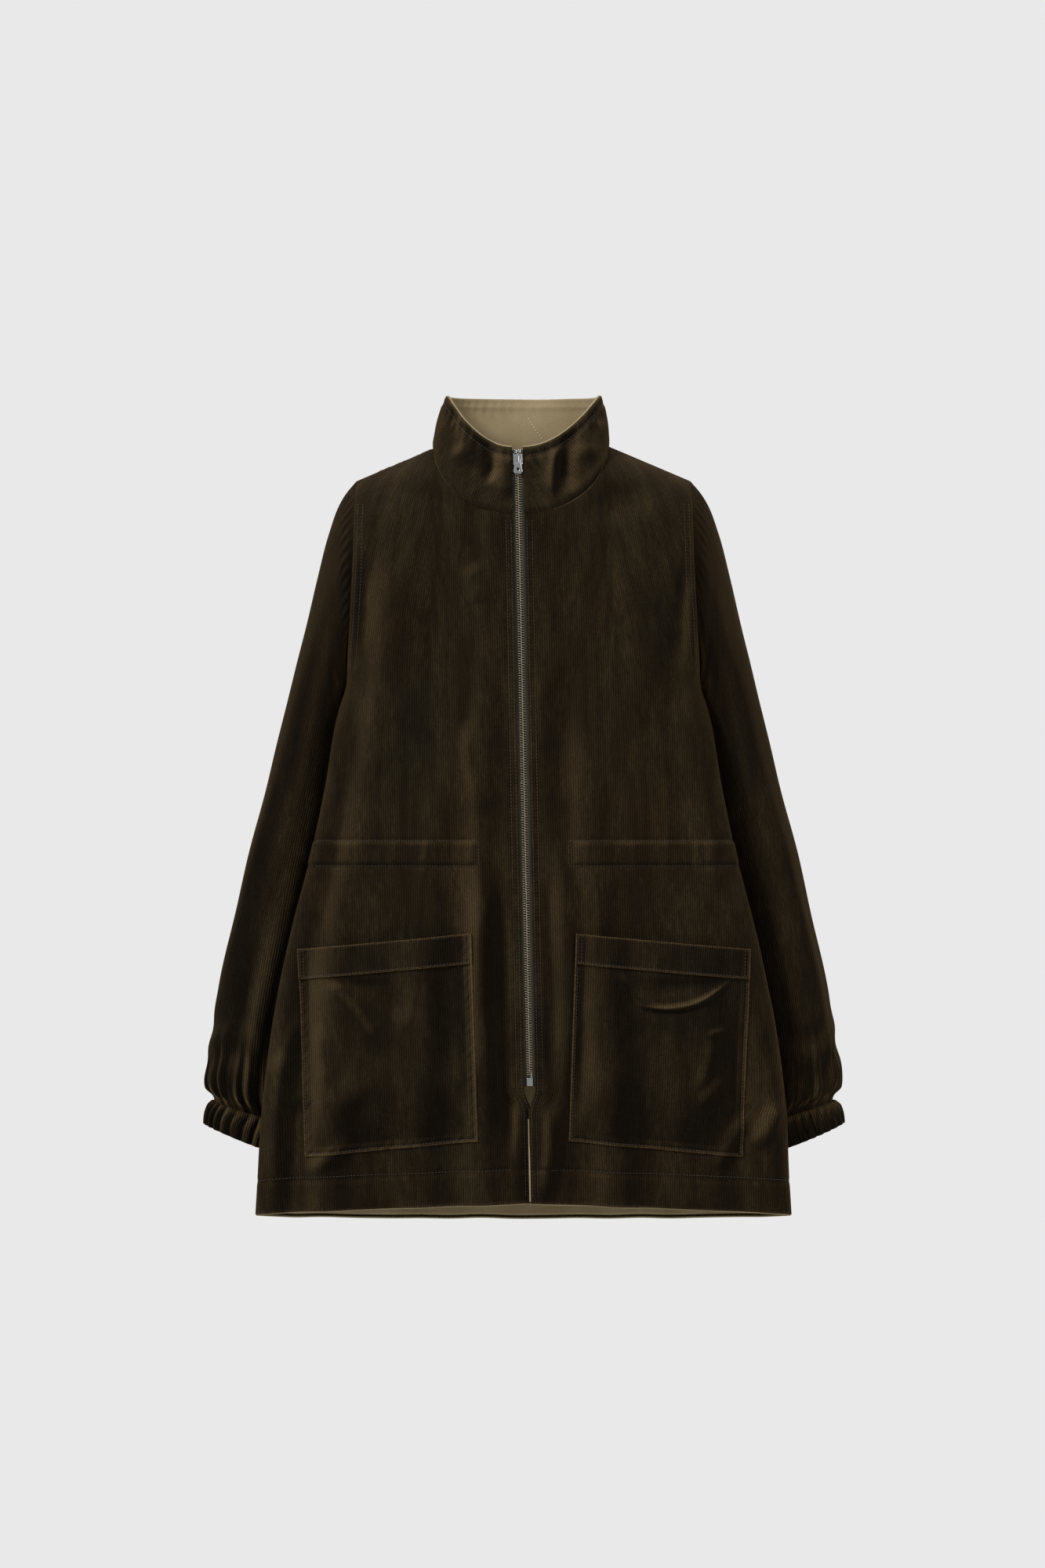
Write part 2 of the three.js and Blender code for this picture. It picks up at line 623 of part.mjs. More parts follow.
function sliderBody() {
  const inner = CHAIN.thick / 2 + SLIDER.clear;
  const outer = inner + SLIDER.plate;
  const half = SLIDER.width / 2;
  const [top, bottom] = [-SLIDER.top, -SLIDER.top - SLIDER.length];
  const middle = (top + bottom) / 2;
  const slot = ZIP_TAPE.thick / 2 + SLIDER.clear;
  const parts = [span(-SLIDER.web / 2, SLIDER.web / 2, -outer + 0.2, outer - 0.2, top - 3, top)];
  for (const face of [-1, 1]) {
    const limits = (a, b) => [Math.min(face * a, face * b), Math.max(face * a, face * b)];
    parts.push(span(-half, half, ...limits(inner, outer), bottom, top));
    for (const side of [-1, 1]) {
      const edge = [side * half, side * (half - SLIDER.lip)].sort((a, b) => a - b);
      parts.push(span(...edge, ...limits(slot, inner + 0.2), bottom, top));
    }
  }
  const roof = -(outer + BRIDGE.tunnel);
  for (const end of [-1, 1]) {
    const z = middle + (end * (BRIDGE.length - BRIDGE.post)) / 2;
    const reach = [z - BRIDGE.post / 2, z + BRIDGE.post / 2];
    parts.push(span(-BRIDGE.width / 2, BRIDGE.width / 2, roof - 0.2, -outer + 0.2, ...reach));
  }
  const ends = [middle - BRIDGE.length / 2, middle + BRIDGE.length / 2];
  parts.push(span(-BRIDGE.width / 2, BRIDGE.width / 2, roof - BRIDGE.bar, roof, ...ends));
  return joined(...parts);
}

/** The height along the chain, and the depth, of the pull's hinge. */
const PULL_AT = -SLIDER.top - SLIDER.length / 2;
const PULL_Y = -(CHAIN.thick / 2 + SLIDER.clear + SLIDER.plate + BRIDGE.tunnel / 2);

function pullTab() {
  const [fore, rear] = [PULL_Y - PULL.thick / 2, PULL_Y + PULL.thick / 2];
  const inner = BRIDGE.width / 2 + PULL.clear;
  const outer = inner + PULL.arm;
  const lowest = PULL_AT - PULL.length;
  const shoulder = PULL_AT - BRIDGE.length / 2 - 1;
  const bar = span(-outer, outer, fore, rear, PULL_AT - PULL.thick / 2, PULL_AT + PULL.thick / 2);
  const arms = [-1, 1].map((side) => {
    const edge = [side * inner, side * outer].sort((a, b) => a - b);
    return span(...edge, fore, rear, shoulder - 0.5, PULL_AT + PULL.thick / 2);
  });
  const plate = new THREE.Shape();
  plate.moveTo(-PULL.top / 2, shoulder);
  plate.lineTo(PULL.top / 2, shoulder);
  plate.lineTo(PULL.bottom / 2, lowest + 2);
  plate.lineTo(PULL.bottom / 2 - 1.5, lowest);
  plate.lineTo(-PULL.bottom / 2 + 1.5, lowest);
  plate.lineTo(-PULL.bottom / 2, lowest + 2);
  const hole = new THREE.Path();
  hole.absellipse(0, (shoulder + lowest) / 2 - 0.6, PULL.hole / 2, PULL.hole / 2, 0, 2 * Math.PI);
  plate.holes.push(hole);
  const flat = new THREE.ExtrudeGeometry(plate, {
    depth: PULL.thick,
    bevelEnabled: false,
    curveSegments: 8,
  });
  flat.rotateX(Math.PI / 2).translate(0, rear, 0);
  return joined(bar, ...arms, flat);
}

function retainerBox() {
  const box = solid(span(-BOX.width / 2, BOX.width / 2, -BOX.thick / 2, BOX.thick / 2, -CHAIN_LENGTH,
    BOX.height - CHAIN_LENGTH));
  const hole = solid(span(PIN.inner - SEAM_GAP, PIN.outer + SEAM_GAP, -PIN.thick / 2 - SEAM_GAP,
    PIN.thick / 2 + SEAM_GAP, BOX.wall - CHAIN_LENGTH, BOX.height - CHAIN_LENGTH + 1));
  return geometryOf(box.subtract(hole));
}

function addZip() {
  const end = -CHAIN_LENGTH;
  for (const [name, side] of Object.entries(SIDES)) {
    const tape = sideSpan(side, ZIP_TAPE.inner, ZIP_TAPE.outer, ZIP_TAPE.thick, end - 1, 3);
    add(`zip_tape_${name}`, onChain(tape), COLOURS.tape);
    const lowest = side > 0 ? end + BOX.height + PIN.above : end + BOX.height + SEAM_GAP;
    const row = sideSpan(side, CHAIN.inner, CHAIN.outer, CHAIN.thick, lowest, -SEAM_GAP);
    add(`zip_teeth_${name}`, onChain(row), COLOURS.brass, 1);
    const stop = sideSpan(side, CHAIN.inner, CHAIN.inner + STOP.width - 0.9, STOP.thick, 0, STOP.height);
    add(`zip_top_stop_${name}`, onChain(stop), COLOURS.steel, 1);
  }
  const top = end + BOX.height + PIN.above - SEAM_GAP;
  const pin = sideSpan(1, PIN.inner, PIN.outer, PIN.thick, end + BOX.wall + SEAM_GAP, top);
  add("zip_insertion_pin", onChain(pin), COLOURS.steel, 1);
  add("zip_retainer_box", onChain(retainerBox()), COLOURS.steel, 1);
  const slider = add("zip_slider_body", onChain(sliderBody()), COLOURS.steel, 1);
  add("zip_pull_tab", onChain(pullTab()), COLOURS.steel, 1, slider);
}

// ---------------------------------------------------------------- the whole jacket

const LINING_START = ZIP_TAPE.outer + 1 - ZIP_HALF_GAP;
const TUNNEL_DEPTH = STRIP_DEPTH + TAPE_THICK + SKIN_GAP;
const TAPE_IN = (TUNNEL_Z[0] - TUNNEL_Z[1] - TAPE_WIDTH) / 2;

for (const [name, side] of Object.entries(SIDES)) {
  add(`shell_front_${name}`, front(side, 0, SHELL_THICK, 0, 0), COLOURS.cord);
  add(`lining_front_${name}`, front(side, LINING_DEPTH, LINING_THICK, LINING_START, 3), COLOURS.twill);
  add(`front_facing_${name}`, frontFacing(side), COLOURS.twill);
  add(
    `hem_facing_front_${name}`,
    strip(side, FACING_WIDTH + SEAM_GAP, HEM_HEIGHTS, STRIP_DEPTH, STRIP_THICK),
    COLOURS.twill,
  );
  add(
    `waist_tape_front_${name}`,
    strip(side, TUNNEL_START, tunnel(-TAPE_IN), STRIP_DEPTH, TAPE_THICK),
    COLOURS.white,
  );
  add(
    `waist_casing_front_${name}`,
    strip(side, TUNNEL_START, tunnel(2), TUNNEL_DEPTH, CASING_THICK),
    COLOURS.twill,
  );
  add(`pocket_bag_${name}`, pocketBag(side), COLOURS.cord);
  add(`pocket_band_${name}`, pocketBand(side), COLOURS.cord);
  addSleeve(name, side);
}
add("shell_back", back(0, SHELL_THICK, 0), COLOURS.cord);
add("lining_back", back(LINING_DEPTH, LINING_THICK, 3), COLOURS.twill);
add("hem_facing_back", levelBack(HEM_HEIGHTS, STRIP_DEPTH, STRIP_THICK), COLOURS.twill);
add("waist_tape_back", levelBack(tunnel(-TAPE_IN), STRIP_DEPTH, TAPE_THICK), COLOURS.white);
add("waist_casing_back", levelBack(tunnel(2), TUNNEL_DEPTH, CASING_THICK), COLOURS.twill);

const COLLAR_INNER = LINING_DEPTH + COLLAR_STIFF_THICK + SKIN_GAP;
add("shell_collar", collar(0, SHELL_THICK, 0, 0), COLOURS.cord);
add("collar_interlining", collar(LINING_DEPTH, COLLAR_STIFF_THICK, LINING_START + 1, 0), COLOURS.white);
add("lining_collar", collar(COLLAR_INNER, LINING_THICK, 0, 0.08), COLOURS.twill);
addZip();

export default jacket;
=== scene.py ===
"""A corduroy jacket hanging by its shoulders: the cloth, stitching and zip around its frame.

Lengths are millimetres, and the last step of every piece turns them to metres. +Z is up, -Y is
the front and +X is the wearer's left. Each cloth piece is a fine grid laid on the jacket's own
surface, which has the frame's dimensions, and then creased, gathered and sewn.
"""

from __future__ import annotations

import json
import logging
import math
from dataclasses import dataclass, field
from enum import Enum
from typing import Callable, Sequence

import bmesh
import bpy
import numpy as np
from mathutils import Matrix, Vector

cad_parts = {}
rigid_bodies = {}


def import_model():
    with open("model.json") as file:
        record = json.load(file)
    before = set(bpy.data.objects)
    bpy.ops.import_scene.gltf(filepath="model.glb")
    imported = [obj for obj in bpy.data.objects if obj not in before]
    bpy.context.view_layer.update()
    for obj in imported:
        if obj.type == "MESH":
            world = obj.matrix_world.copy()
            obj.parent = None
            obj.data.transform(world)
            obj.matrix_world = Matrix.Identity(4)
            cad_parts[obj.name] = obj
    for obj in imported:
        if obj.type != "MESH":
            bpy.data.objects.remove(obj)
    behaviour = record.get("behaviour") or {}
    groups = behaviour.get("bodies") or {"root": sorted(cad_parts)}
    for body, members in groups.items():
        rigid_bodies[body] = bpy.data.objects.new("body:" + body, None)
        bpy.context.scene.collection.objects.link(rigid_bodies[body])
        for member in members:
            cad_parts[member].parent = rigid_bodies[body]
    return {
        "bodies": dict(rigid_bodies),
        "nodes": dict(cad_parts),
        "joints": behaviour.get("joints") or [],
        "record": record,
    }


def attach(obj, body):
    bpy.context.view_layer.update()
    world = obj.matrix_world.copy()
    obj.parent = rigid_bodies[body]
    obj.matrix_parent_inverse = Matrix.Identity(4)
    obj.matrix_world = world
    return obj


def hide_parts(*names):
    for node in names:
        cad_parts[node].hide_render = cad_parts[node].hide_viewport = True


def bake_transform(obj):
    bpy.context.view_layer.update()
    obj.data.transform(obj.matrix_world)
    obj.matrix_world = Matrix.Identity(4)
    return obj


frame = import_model()

LOG = logging.getLogger("jacket")
Array = np.ndarray
MM = 0.001


class Side(Enum):
    """One side of the jacket, as the wearer names it."""

    LEFT = 1
    RIGHT = -1

    @property
    def label(self) -> str:
        """The word that names of pieces end in."""
        return self.name.lower()


# ------------------------------------------------------------------ number helpers


def through(stations: Sequence[tuple[float, float]], place: Array) -> Array:
    """Reads a smooth curve through stations.

    Args:
        stations: pairs of place and value, from the highest place down.
        place: where to read the curve.

    Returns:
        The curve's value at each place.
    """
    where, value = np.array(stations[::-1], float).T
    rise = np.empty_like(value)
    rise[1:-1] = (value[2:] - value[:-2]) / (where[2:] - where[:-2])
    rise[0] = (value[1] - value[0]) / (where[1] - where[0])
    rise[-1] = (value[-1] - value[-2]) / (where[-1] - where[-2])
    place = np.clip(np.asarray(place, float), where[0], where[-1])
    i = np.clip(np.searchsorted(where, place) - 1, 0, len(where) - 2)
    gap = where[i + 1] - where[i]
    t = (place - where[i]) / gap
    start, end = 2 * t**3 - 3 * t**2 + 1, 3 * t**2 - 2 * t**3
    leave, arrive = t**3 - 2 * t**2 + t, t**3 - t**2
    return value[i] * start + rise[i] * gap * leave + value[i + 1] * end + rise[i + 1] * gap * arrive


def bell(distance: Array, width: float) -> Array:
    """A smooth hump of height 1 that has all but gone at twice its width."""
    return np.exp(-((np.asarray(distance) / width) ** 2))


def step(value: Array, low: float, high: float) -> Array:
    """Rises smoothly from 0 at low to 1 at high."""
    t = np.clip((np.asarray(value, float) - low) / (high - low), 0, 1)
    return t * t * (3 - 2 * t)


def ripple(phase: Array, seed: int) -> Array:
    """An uneven wave: three sines whose lengths don't divide into each other."""
    start = np.random.default_rng(seed).uniform(0, 2 * math.pi, 3)
    waves = zip((1.0, 0.618, 1.47), (0.55, 0.3, 0.25), start)
    return sum(size * np.sin(pace * phase + first) for pace, size, first in waves)


def points(x: Array, y: Array, z: Array) -> Array:
    """Three arrays as one array of points."""
    return np.stack(np.broadcast_arrays(x, y, z), axis=-1).astype(float)


def unit(vectors: Array) -> Array:
    """Vectors scaled to length 1."""
    return vectors / np.maximum(np.linalg.norm(vectors, axis=-1, keepdims=True), 1e-9)


# ------------------------------------------------------------------ the jacket's surface


@dataclass(frozen=True)
class Body:
    """The body's dimensions, and the places on its face."""

    neck_half: float = 88
    neck_z: float = -14
    shoulder_half: float = 173
    shoulder_z: float = -50
    front_neck_z: float = -88
    back_neck_drop: float = 9
    roll: float = 66
    armpit_z: float = -262
    hem_z: float = -808
    front_hem_rise: float = 16
    back_hem_drop: float = 14
    front_y: float = -62
    tunnel: tuple[float, float] = (-424, -446)
    zip_top: tuple[float, float] = (-6, -26)
    zip_bottom: tuple[float, float] = (6.5, -672)
    zip_gap: float = 5.6
    vent_gap: float = -1.6  # the fronts' edges lie over each other below the zip
    side_x: tuple = (
        (-50, 173), (-150, 176), (-262, 184), (-284, 190), (-306, 195), (-364, 204), (-440, 220), (-524, 241),
        (-604, 258), (-684, 268), (-808, 276),
    )
    side_y: tuple = ((-262, 2), (-300, -12), (-345, -22), (-620, -24), (-808, -20))
    front_edge_y: tuple = ((-50, -38), (-150, -40), (-205, -34), (-240, -16))
    back_edge_y: tuple = ((-50, 42), (-150, 46), (-205, 40), (-240, 22))
    back_y: tuple = ((-14, 56), (-150, 60), (-400, 62), (-808, 74))

    def zip_x(self, z: Array) -> Array:
        """The chain's middle at a height."""
        (x0, z0), (x1, z1) = self.zip_top, self.zip_bottom
        return x0 + (x1 - x0) * (z0 - z) / (z0 - z1)

    def half_gap(self, z: Array) -> Array:
        """Half the gap between the fronts, which closes below the zip."""
        below = step(self.zip_bottom[1] - 3 - z, 0, 26)
        return self.zip_gap + (self.vent_gap - self.zip_gap) * below

    def ridge_z(self, x: Array) -> Array:
        """The shoulder's height at a distance from the middle."""
        out = np.maximum(0, np.abs(x) - self.neck_half)
        return self.neck_z - out * (self.neck_z - self.shoulder_z) / (self.shoulder_half - self.neck_half)

    def front_middle(self, side: int, z: Array) -> Array:
        """The front's own edge beside the zip."""
        return self.zip_x(z) + side * self.half_gap(z)

    def neck(self, front: bool, across: Array) -> Array:
        """The neck seam's height, at a share of the neck's half width."""
        arc = np.sqrt(np.maximum(0, 1 - across**2))
        if front:
            return self.front_neck_z + (self.neck_z - self.front_neck_z) * (1 - arc)
        return self.neck_z - self.back_neck_drop * arc

    def hem(self, front: bool, share: Array) -> Array:
        """The hem's height, at a share of the panel."""
        if front:
            return self.hem_z + self.front_hem_rise * (1 - share)
        return self.hem_z - self.back_hem_drop * np.cos(share * math.pi / 2)

    def point(self, front: bool, side: int, share: Array, z: Array) -> Array:
        """A point of the jacket's smooth face.

        Args:
            front: whether it is on a front or on the back.
            side: 1 for the wearer's left, -1 for the right.
            share: 0 at the panel's middle, 1 at its side.
            z: the height.

        Returns:
            The points, one for each share and height.
        """
        turn = share * math.pi / 2
        fall = np.maximum(0, np.cos(turn)) ** (0.6 if front else 1.0)
        middle = self.front_middle(side, z) if front else 0 * z
        x = middle + (side * through(self.side_x, z) - middle) * np.sin(turn)
        edge = through((self.front_edge_y if front else self.back_edge_y) + self.side_y, z)
        deep = self.front_y if front else through(self.back_y, z)
        t = np.clip((self.ridge_z(x) - z) / self.roll, 0, 1)
        y = (edge + (deep - edge) * fall) * np.sqrt(1 - (1 - t) ** 2)
        return points(x, y, np.minimum(z, self.ridge_z(x)))

    def share_at(self, front: bool, side: int, x: Array, z: Array) -> Array:
        """The share at which a panel reaches x, at a height."""
        middle = self.front_middle(side, z) if front else 0 * z
        reach = (x - middle) / (side * through(self.side_x, z) - middle)
        return np.arcsin(np.clip(reach, 0, 1)) * 2 / math.pi

    def level_z(self, front: bool, share: Array, level: Array) -> Array:
        """The height of a level, which follows the neck, the shoulder and the hem."""
        x = self.shoulder_half * np.sin(np.abs(share) * math.pi / 2)
        neck = self.neck(front, np.minimum(1, x / self.neck_half))
        top = np.where(x < self.neck_half, neck, self.ridge_z(x))
        high = np.clip((level - self.armpit_z) / (self.shoulder_z - self.armpit_z), 0, 1)
        low = np.clip((self.tunnel[1] - level) / (self.tunnel[1] - self.hem_z), 0, 1)
        return level + (top - self.shoulder_z) * high + (self.hem(front, np.abs(share)) - self.hem_z) * low


BODY = Body()


@dataclass(frozen=True)
class Crease:
    """A ridge, or with a negative height a valley, along a bowed line on a flat view of a piece."""

    start: tuple[float, float]
    end: tuple[float, float]
    width: float
    height: float
    bow: float = 0.0
    lean: float = 0.0

    def lift(self, x: Array, z: Array) -> Array:
        """How far the crease lifts the cloth at each place."""
        (x0, z0), (x1, z1) = self.start, self.end
        length = math.hypot(x1 - x0, z1 - z0)
        ax, az = (x1 - x0) / length, (z1 - z0) / length
        along = ((x - x0) * ax + (z - z0) * az) / length
        across = (x - x0) * -az + (z - z0) * ax - self.bow * 4 * along * (1 - along)
        ends = step(along, -0.05, 0.3) * (1 - step(along, 0.7, 1.05))
        sharp = across / self.width
        shape = np.exp(-(sharp**2)) * (1 - self.lean * np.tanh(2 * sharp))
        return self.height * shape * ends


# ------------------------------------------------------------------ meshes


def linear(colour: str) -> tuple[float, float, float, float]:
    """An sRGB hex colour as the linear values that a shader socket takes."""
    parts = [int(colour[i : i + 2], 16) / 255 for i in (1, 3, 5)]
    values = [c / 12.92 if c <= 0.04045 else ((c + 0.055) / 1.055) ** 2.4 for c in parts]
    return (*values, 1.0)


def cloth_grid(columns: int, rows: int) -> bpy.types.Mesh:
    """A unit grid whose corners hold their column and row shares as x and y."""
    bm = bmesh.new()
    bmesh.ops.create_grid(bm, x_segments=columns, y_segments=rows, size=0.5, calc_uvs=False)
    bmesh.ops.translate(bm, vec=(0.5, 0.5, 0), verts=bm.verts)
    mesh = bpy.data.meshes.new("cloth")
    bm.to_mesh(mesh)
    bm.free()
    return mesh


def read(mesh: bpy.types.Mesh) -> Array:
    """The mesh's vertices, one row each."""
    co = np.empty(len(mesh.vertices) * 3)
    mesh.vertices.foreach_get("co", co)
    return co.reshape(-1, 3)


def write(mesh: bpy.types.Mesh, where: Array) -> None:
    """Moves the mesh's vertices."""
    mesh.vertices.foreach_set("co", np.asarray(where, float).ravel())
    mesh.update()


def give_attribute(mesh: bpy.types.Mesh, name: str, value: Array) -> None:
    """Stores one number for each vertex, for a material to read."""
    attribute = mesh.attributes.new(name, "FLOAT", "POINT")
    attribute.data.foreach_set("value", np.broadcast_to(value, len(mesh.vertices)).astype(np.float32))


def give_uv(mesh: bpy.types.Mesh, u: Array, v: Array) -> None:
    """Lays a UV map in metres of cloth, from values held at the vertices."""
    corners = np.empty(len(mesh.loops), np.int32)
    mesh.loops.foreach_get("vertex_index", corners)
    layer = mesh.uv_layers.new(name="cloth")
    layer.data.foreach_set("uv", np.stack([u[corners], v[corners]], 1).astype(np.float32).ravel())


def place_piece(name: str, mesh: bpy.types.Mesh, material: bpy.types.Material) -> bpy.types.Object:
    """Links a mesh into the scene with its material and smooth shading."""
    mesh.name = name
    mesh.materials.clear()
    mesh.materials.append(material)
    mesh.shade_smooth()
    obj = bpy.data.objects.new(name, mesh)
    bpy.context.scene.collection.objects.link(obj)
    return obj


def finish_modifiers(obj: bpy.types.Object) -> None:
    """Applies an object's modifiers to its mesh."""
    graph = bpy.context.evaluated_depsgraph_get()
    mesh = bpy.data.meshes.new_from_object(
        obj.evaluated_get(graph), preserve_all_data_layers=True, depsgraph=graph
    )
    obj.modifiers.clear()
    obj.data = mesh


def thicken(obj: bpy.types.Object, thickness: float) -> None:
    """Gives a sheet its thickness in millimetres, behind the face it was laid on."""
    solidify = obj.modifiers.new("thickness", "SOLIDIFY")
    solidify.thickness = thickness * MM
    solidify.offset = -1
    solidify.use_even_offset = False
    finish_modifiers(obj)


Place = Callable[[Array, Array], Array]
Lift = Callable[[Array, Array, Array], Array]


@dataclass
class Sheet:
    """One piece of cloth, from its smooth place on the jacket to its creased mesh."""

    name: str
    columns: int
    rows: int
    place: Place
    lift: Lift
    depth: float
    thickness: float
    material: bpy.types.Material
    away_from: Callable[[Array], Array]
    closed: bool = False
    centred: bool = False
    flat: tuple[float, float] = (0, 0)
    area: float = 0
    wear: Lift | None = None
    # painted shade: an offset to the painted light that darkens the whole piece as if it lay in shadow
    lie: Lift | None = None

    def normals(self, u: Array, v: Array) -> Array:
        """The smooth surface's outward normals."""
        small = 2e-3
        low, high = u - small, u + small
        if not self.closed:
            low, high = np.clip(low, 0, 1), np.clip(high, 0, 1)
        along = self.place(high, v) - self.place(low, v)
        down = self.place(u, np.clip(v + small, 0, 1)) - self.place(u, np.clip(v - small, 0, 1))
        normal = unit(np.cross(along, down))
        here = self.place(u, v)
        outward = np.sum(normal * (here - self.away_from(here)), axis=-1)
        return normal * np.where(outward < 0, -1, 1)[:, None]

    def at(self, u: Array, v: Array, proud: float = 0.0) -> tuple[Array, Array]:
        """Places on the creased face, standing proud of it by a distance, and their normals."""
        u, v = np.broadcast_arrays(np.asarray(u, float), np.asarray(v, float))
        smooth, normal = self.place(u, v), self.normals(u, v)
        stand = self.lift(u, v, smooth) - self.depth + proud
        return smooth + normal * stand[:, None], normal

    def measure(self, base: Array) -> tuple[Array, Array]:
        """Lengths of cloth to each corner from the first column, or the middle one, and the first row."""
        lattice = base.reshape(self.rows + 1, self.columns + 1, 3)
        across = np.linalg.norm(np.diff(lattice, axis=1), axis=2)
        along = np.linalg.norm(np.diff(lattice, axis=0), axis=2)
        u = np.zeros(lattice.shape[:2])
        v = np.zeros(lattice.shape[:2])
        u[:, 1:] = np.cumsum(across, axis=1)
        v[1:, :] = np.cumsum(along, axis=0)
        self.flat = (float(u.max()) * MM, float(v.max()) * MM)
        cells = np.cross(np.diff(lattice, axis=1)[:-1], np.diff(lattice, axis=0)[:, :-1])
        self.area = float(np.linalg.norm(cells, axis=2).sum()) * MM * MM
        if self.centred:
            u = u - u[:, -1:] / 2
        return u.ravel(), v.ravel()

    @staticmethod
    def nap(mesh: bpy.types.Mesh, normal: Array) -> Array:
        """How far each place's creased normal tilts, out of its smooth normal, towards a fixed light from the
        upper left: painted light, shown by the cloth as a painted highlight where positive and painted shade
        where negative.
        """
        leaning = np.empty(len(mesh.vertices) * 3)
        mesh.vertices.foreach_get("normal", leaning)
        leaning = leaning.reshape(-1, 3)
        leaning = leaning * np.sign(np.sum(leaning * normal, axis=1, keepdims=True))
        return (leaning - normal) @ np.array((-0.62, 0.0, 0.78))

    def build(self) -> bpy.types.Object:
        """Makes the sheet's object, with its UV map, its wear attribute and its attribute of painted light
        and shade.
        """
        mesh = cloth_grid(self.columns, self.rows)
        grid = read(mesh)
        u, v = grid[:, 0], grid[:, 1]
        order = np.lexsort((np.round(u * self.columns), np.round(v * self.rows)))
        smooth = self.place(u, v)
        where, normal = self.at(u, v)
        width, length = np.empty((2, len(u)))
        width[order], length[order] = self.measure(smooth[order])
        write(mesh, where * MM)
        give_attribute(mesh, "wear", self.wear(u, v, smooth) if self.wear else 0.0)
        # Painted light and shade: how far each fold faces a fixed light from the upper left, plus the piece's
        # painted shade offset.
        give_attribute(mesh, "nap", self.nap(mesh, normal) + (self.lie(u, v, smooth) if self.lie else 0.0))
        give_uv(mesh, width * MM, length * MM)
        face = mesh.polygons[len(mesh.polygons) // 2]
        bm = bmesh.new()
        bm.from_mesh(mesh)
        if face.normal.dot(Vector(normal[face.vertices[0]])) < 0:
            bmesh.ops.reverse_faces(bm, faces=bm.faces)
        if self.closed:
            bmesh.ops.remove_doubles(bm, verts=bm.verts, dist=1e-6)
        bm.to_mesh(mesh)
        bm.free()
        obj = place_piece(f"{self.name}_cloth", mesh, self.material)
        if self.thickness:
            thicken(obj, self.thickness)
        return obj

    def declare(self, obj: bpy.types.Object, held: str, rests_on: Sequence[str] = ()) -> None:
        """Does nothing: the piece's cloth is not passed to the frame."""


# ------------------------------------------------------------------ finishes


def add_node(
    tree: bpy.types.NodeTree, kind: str, settings: dict | None = None, links: dict | None = None
) -> bpy.types.Node:
    """Adds a shader node.

    Args:
        tree: the material's or world's node tree.
        kind: the node's type name, without its ShaderNode prefix.
        settings: properties of the node, and values of its input sockets by name or number.
        links: output sockets to join to its input sockets, by name or number.

    Returns:
        The new node.
    """
    node = tree.nodes.new("ShaderNode" + kind)
    for key, value in (settings or {}).items():
        if isinstance(key, str) and hasattr(node, key):
            setattr(node, key, value)
        else:
            node.inputs[key].default_value = value
    for key, output in (links or {}).items():
        tree.links.new(output, node.inputs[key])
    return node


def new_material(name: str) -> tuple[bpy.types.Material, bpy.types.NodeTree]:
    """An empty material with its output left to link."""
    material = bpy.data.materials.new(name)
    material.use_nodes = True
    material.node_tree.nodes.clear()
    return material, material.node_tree


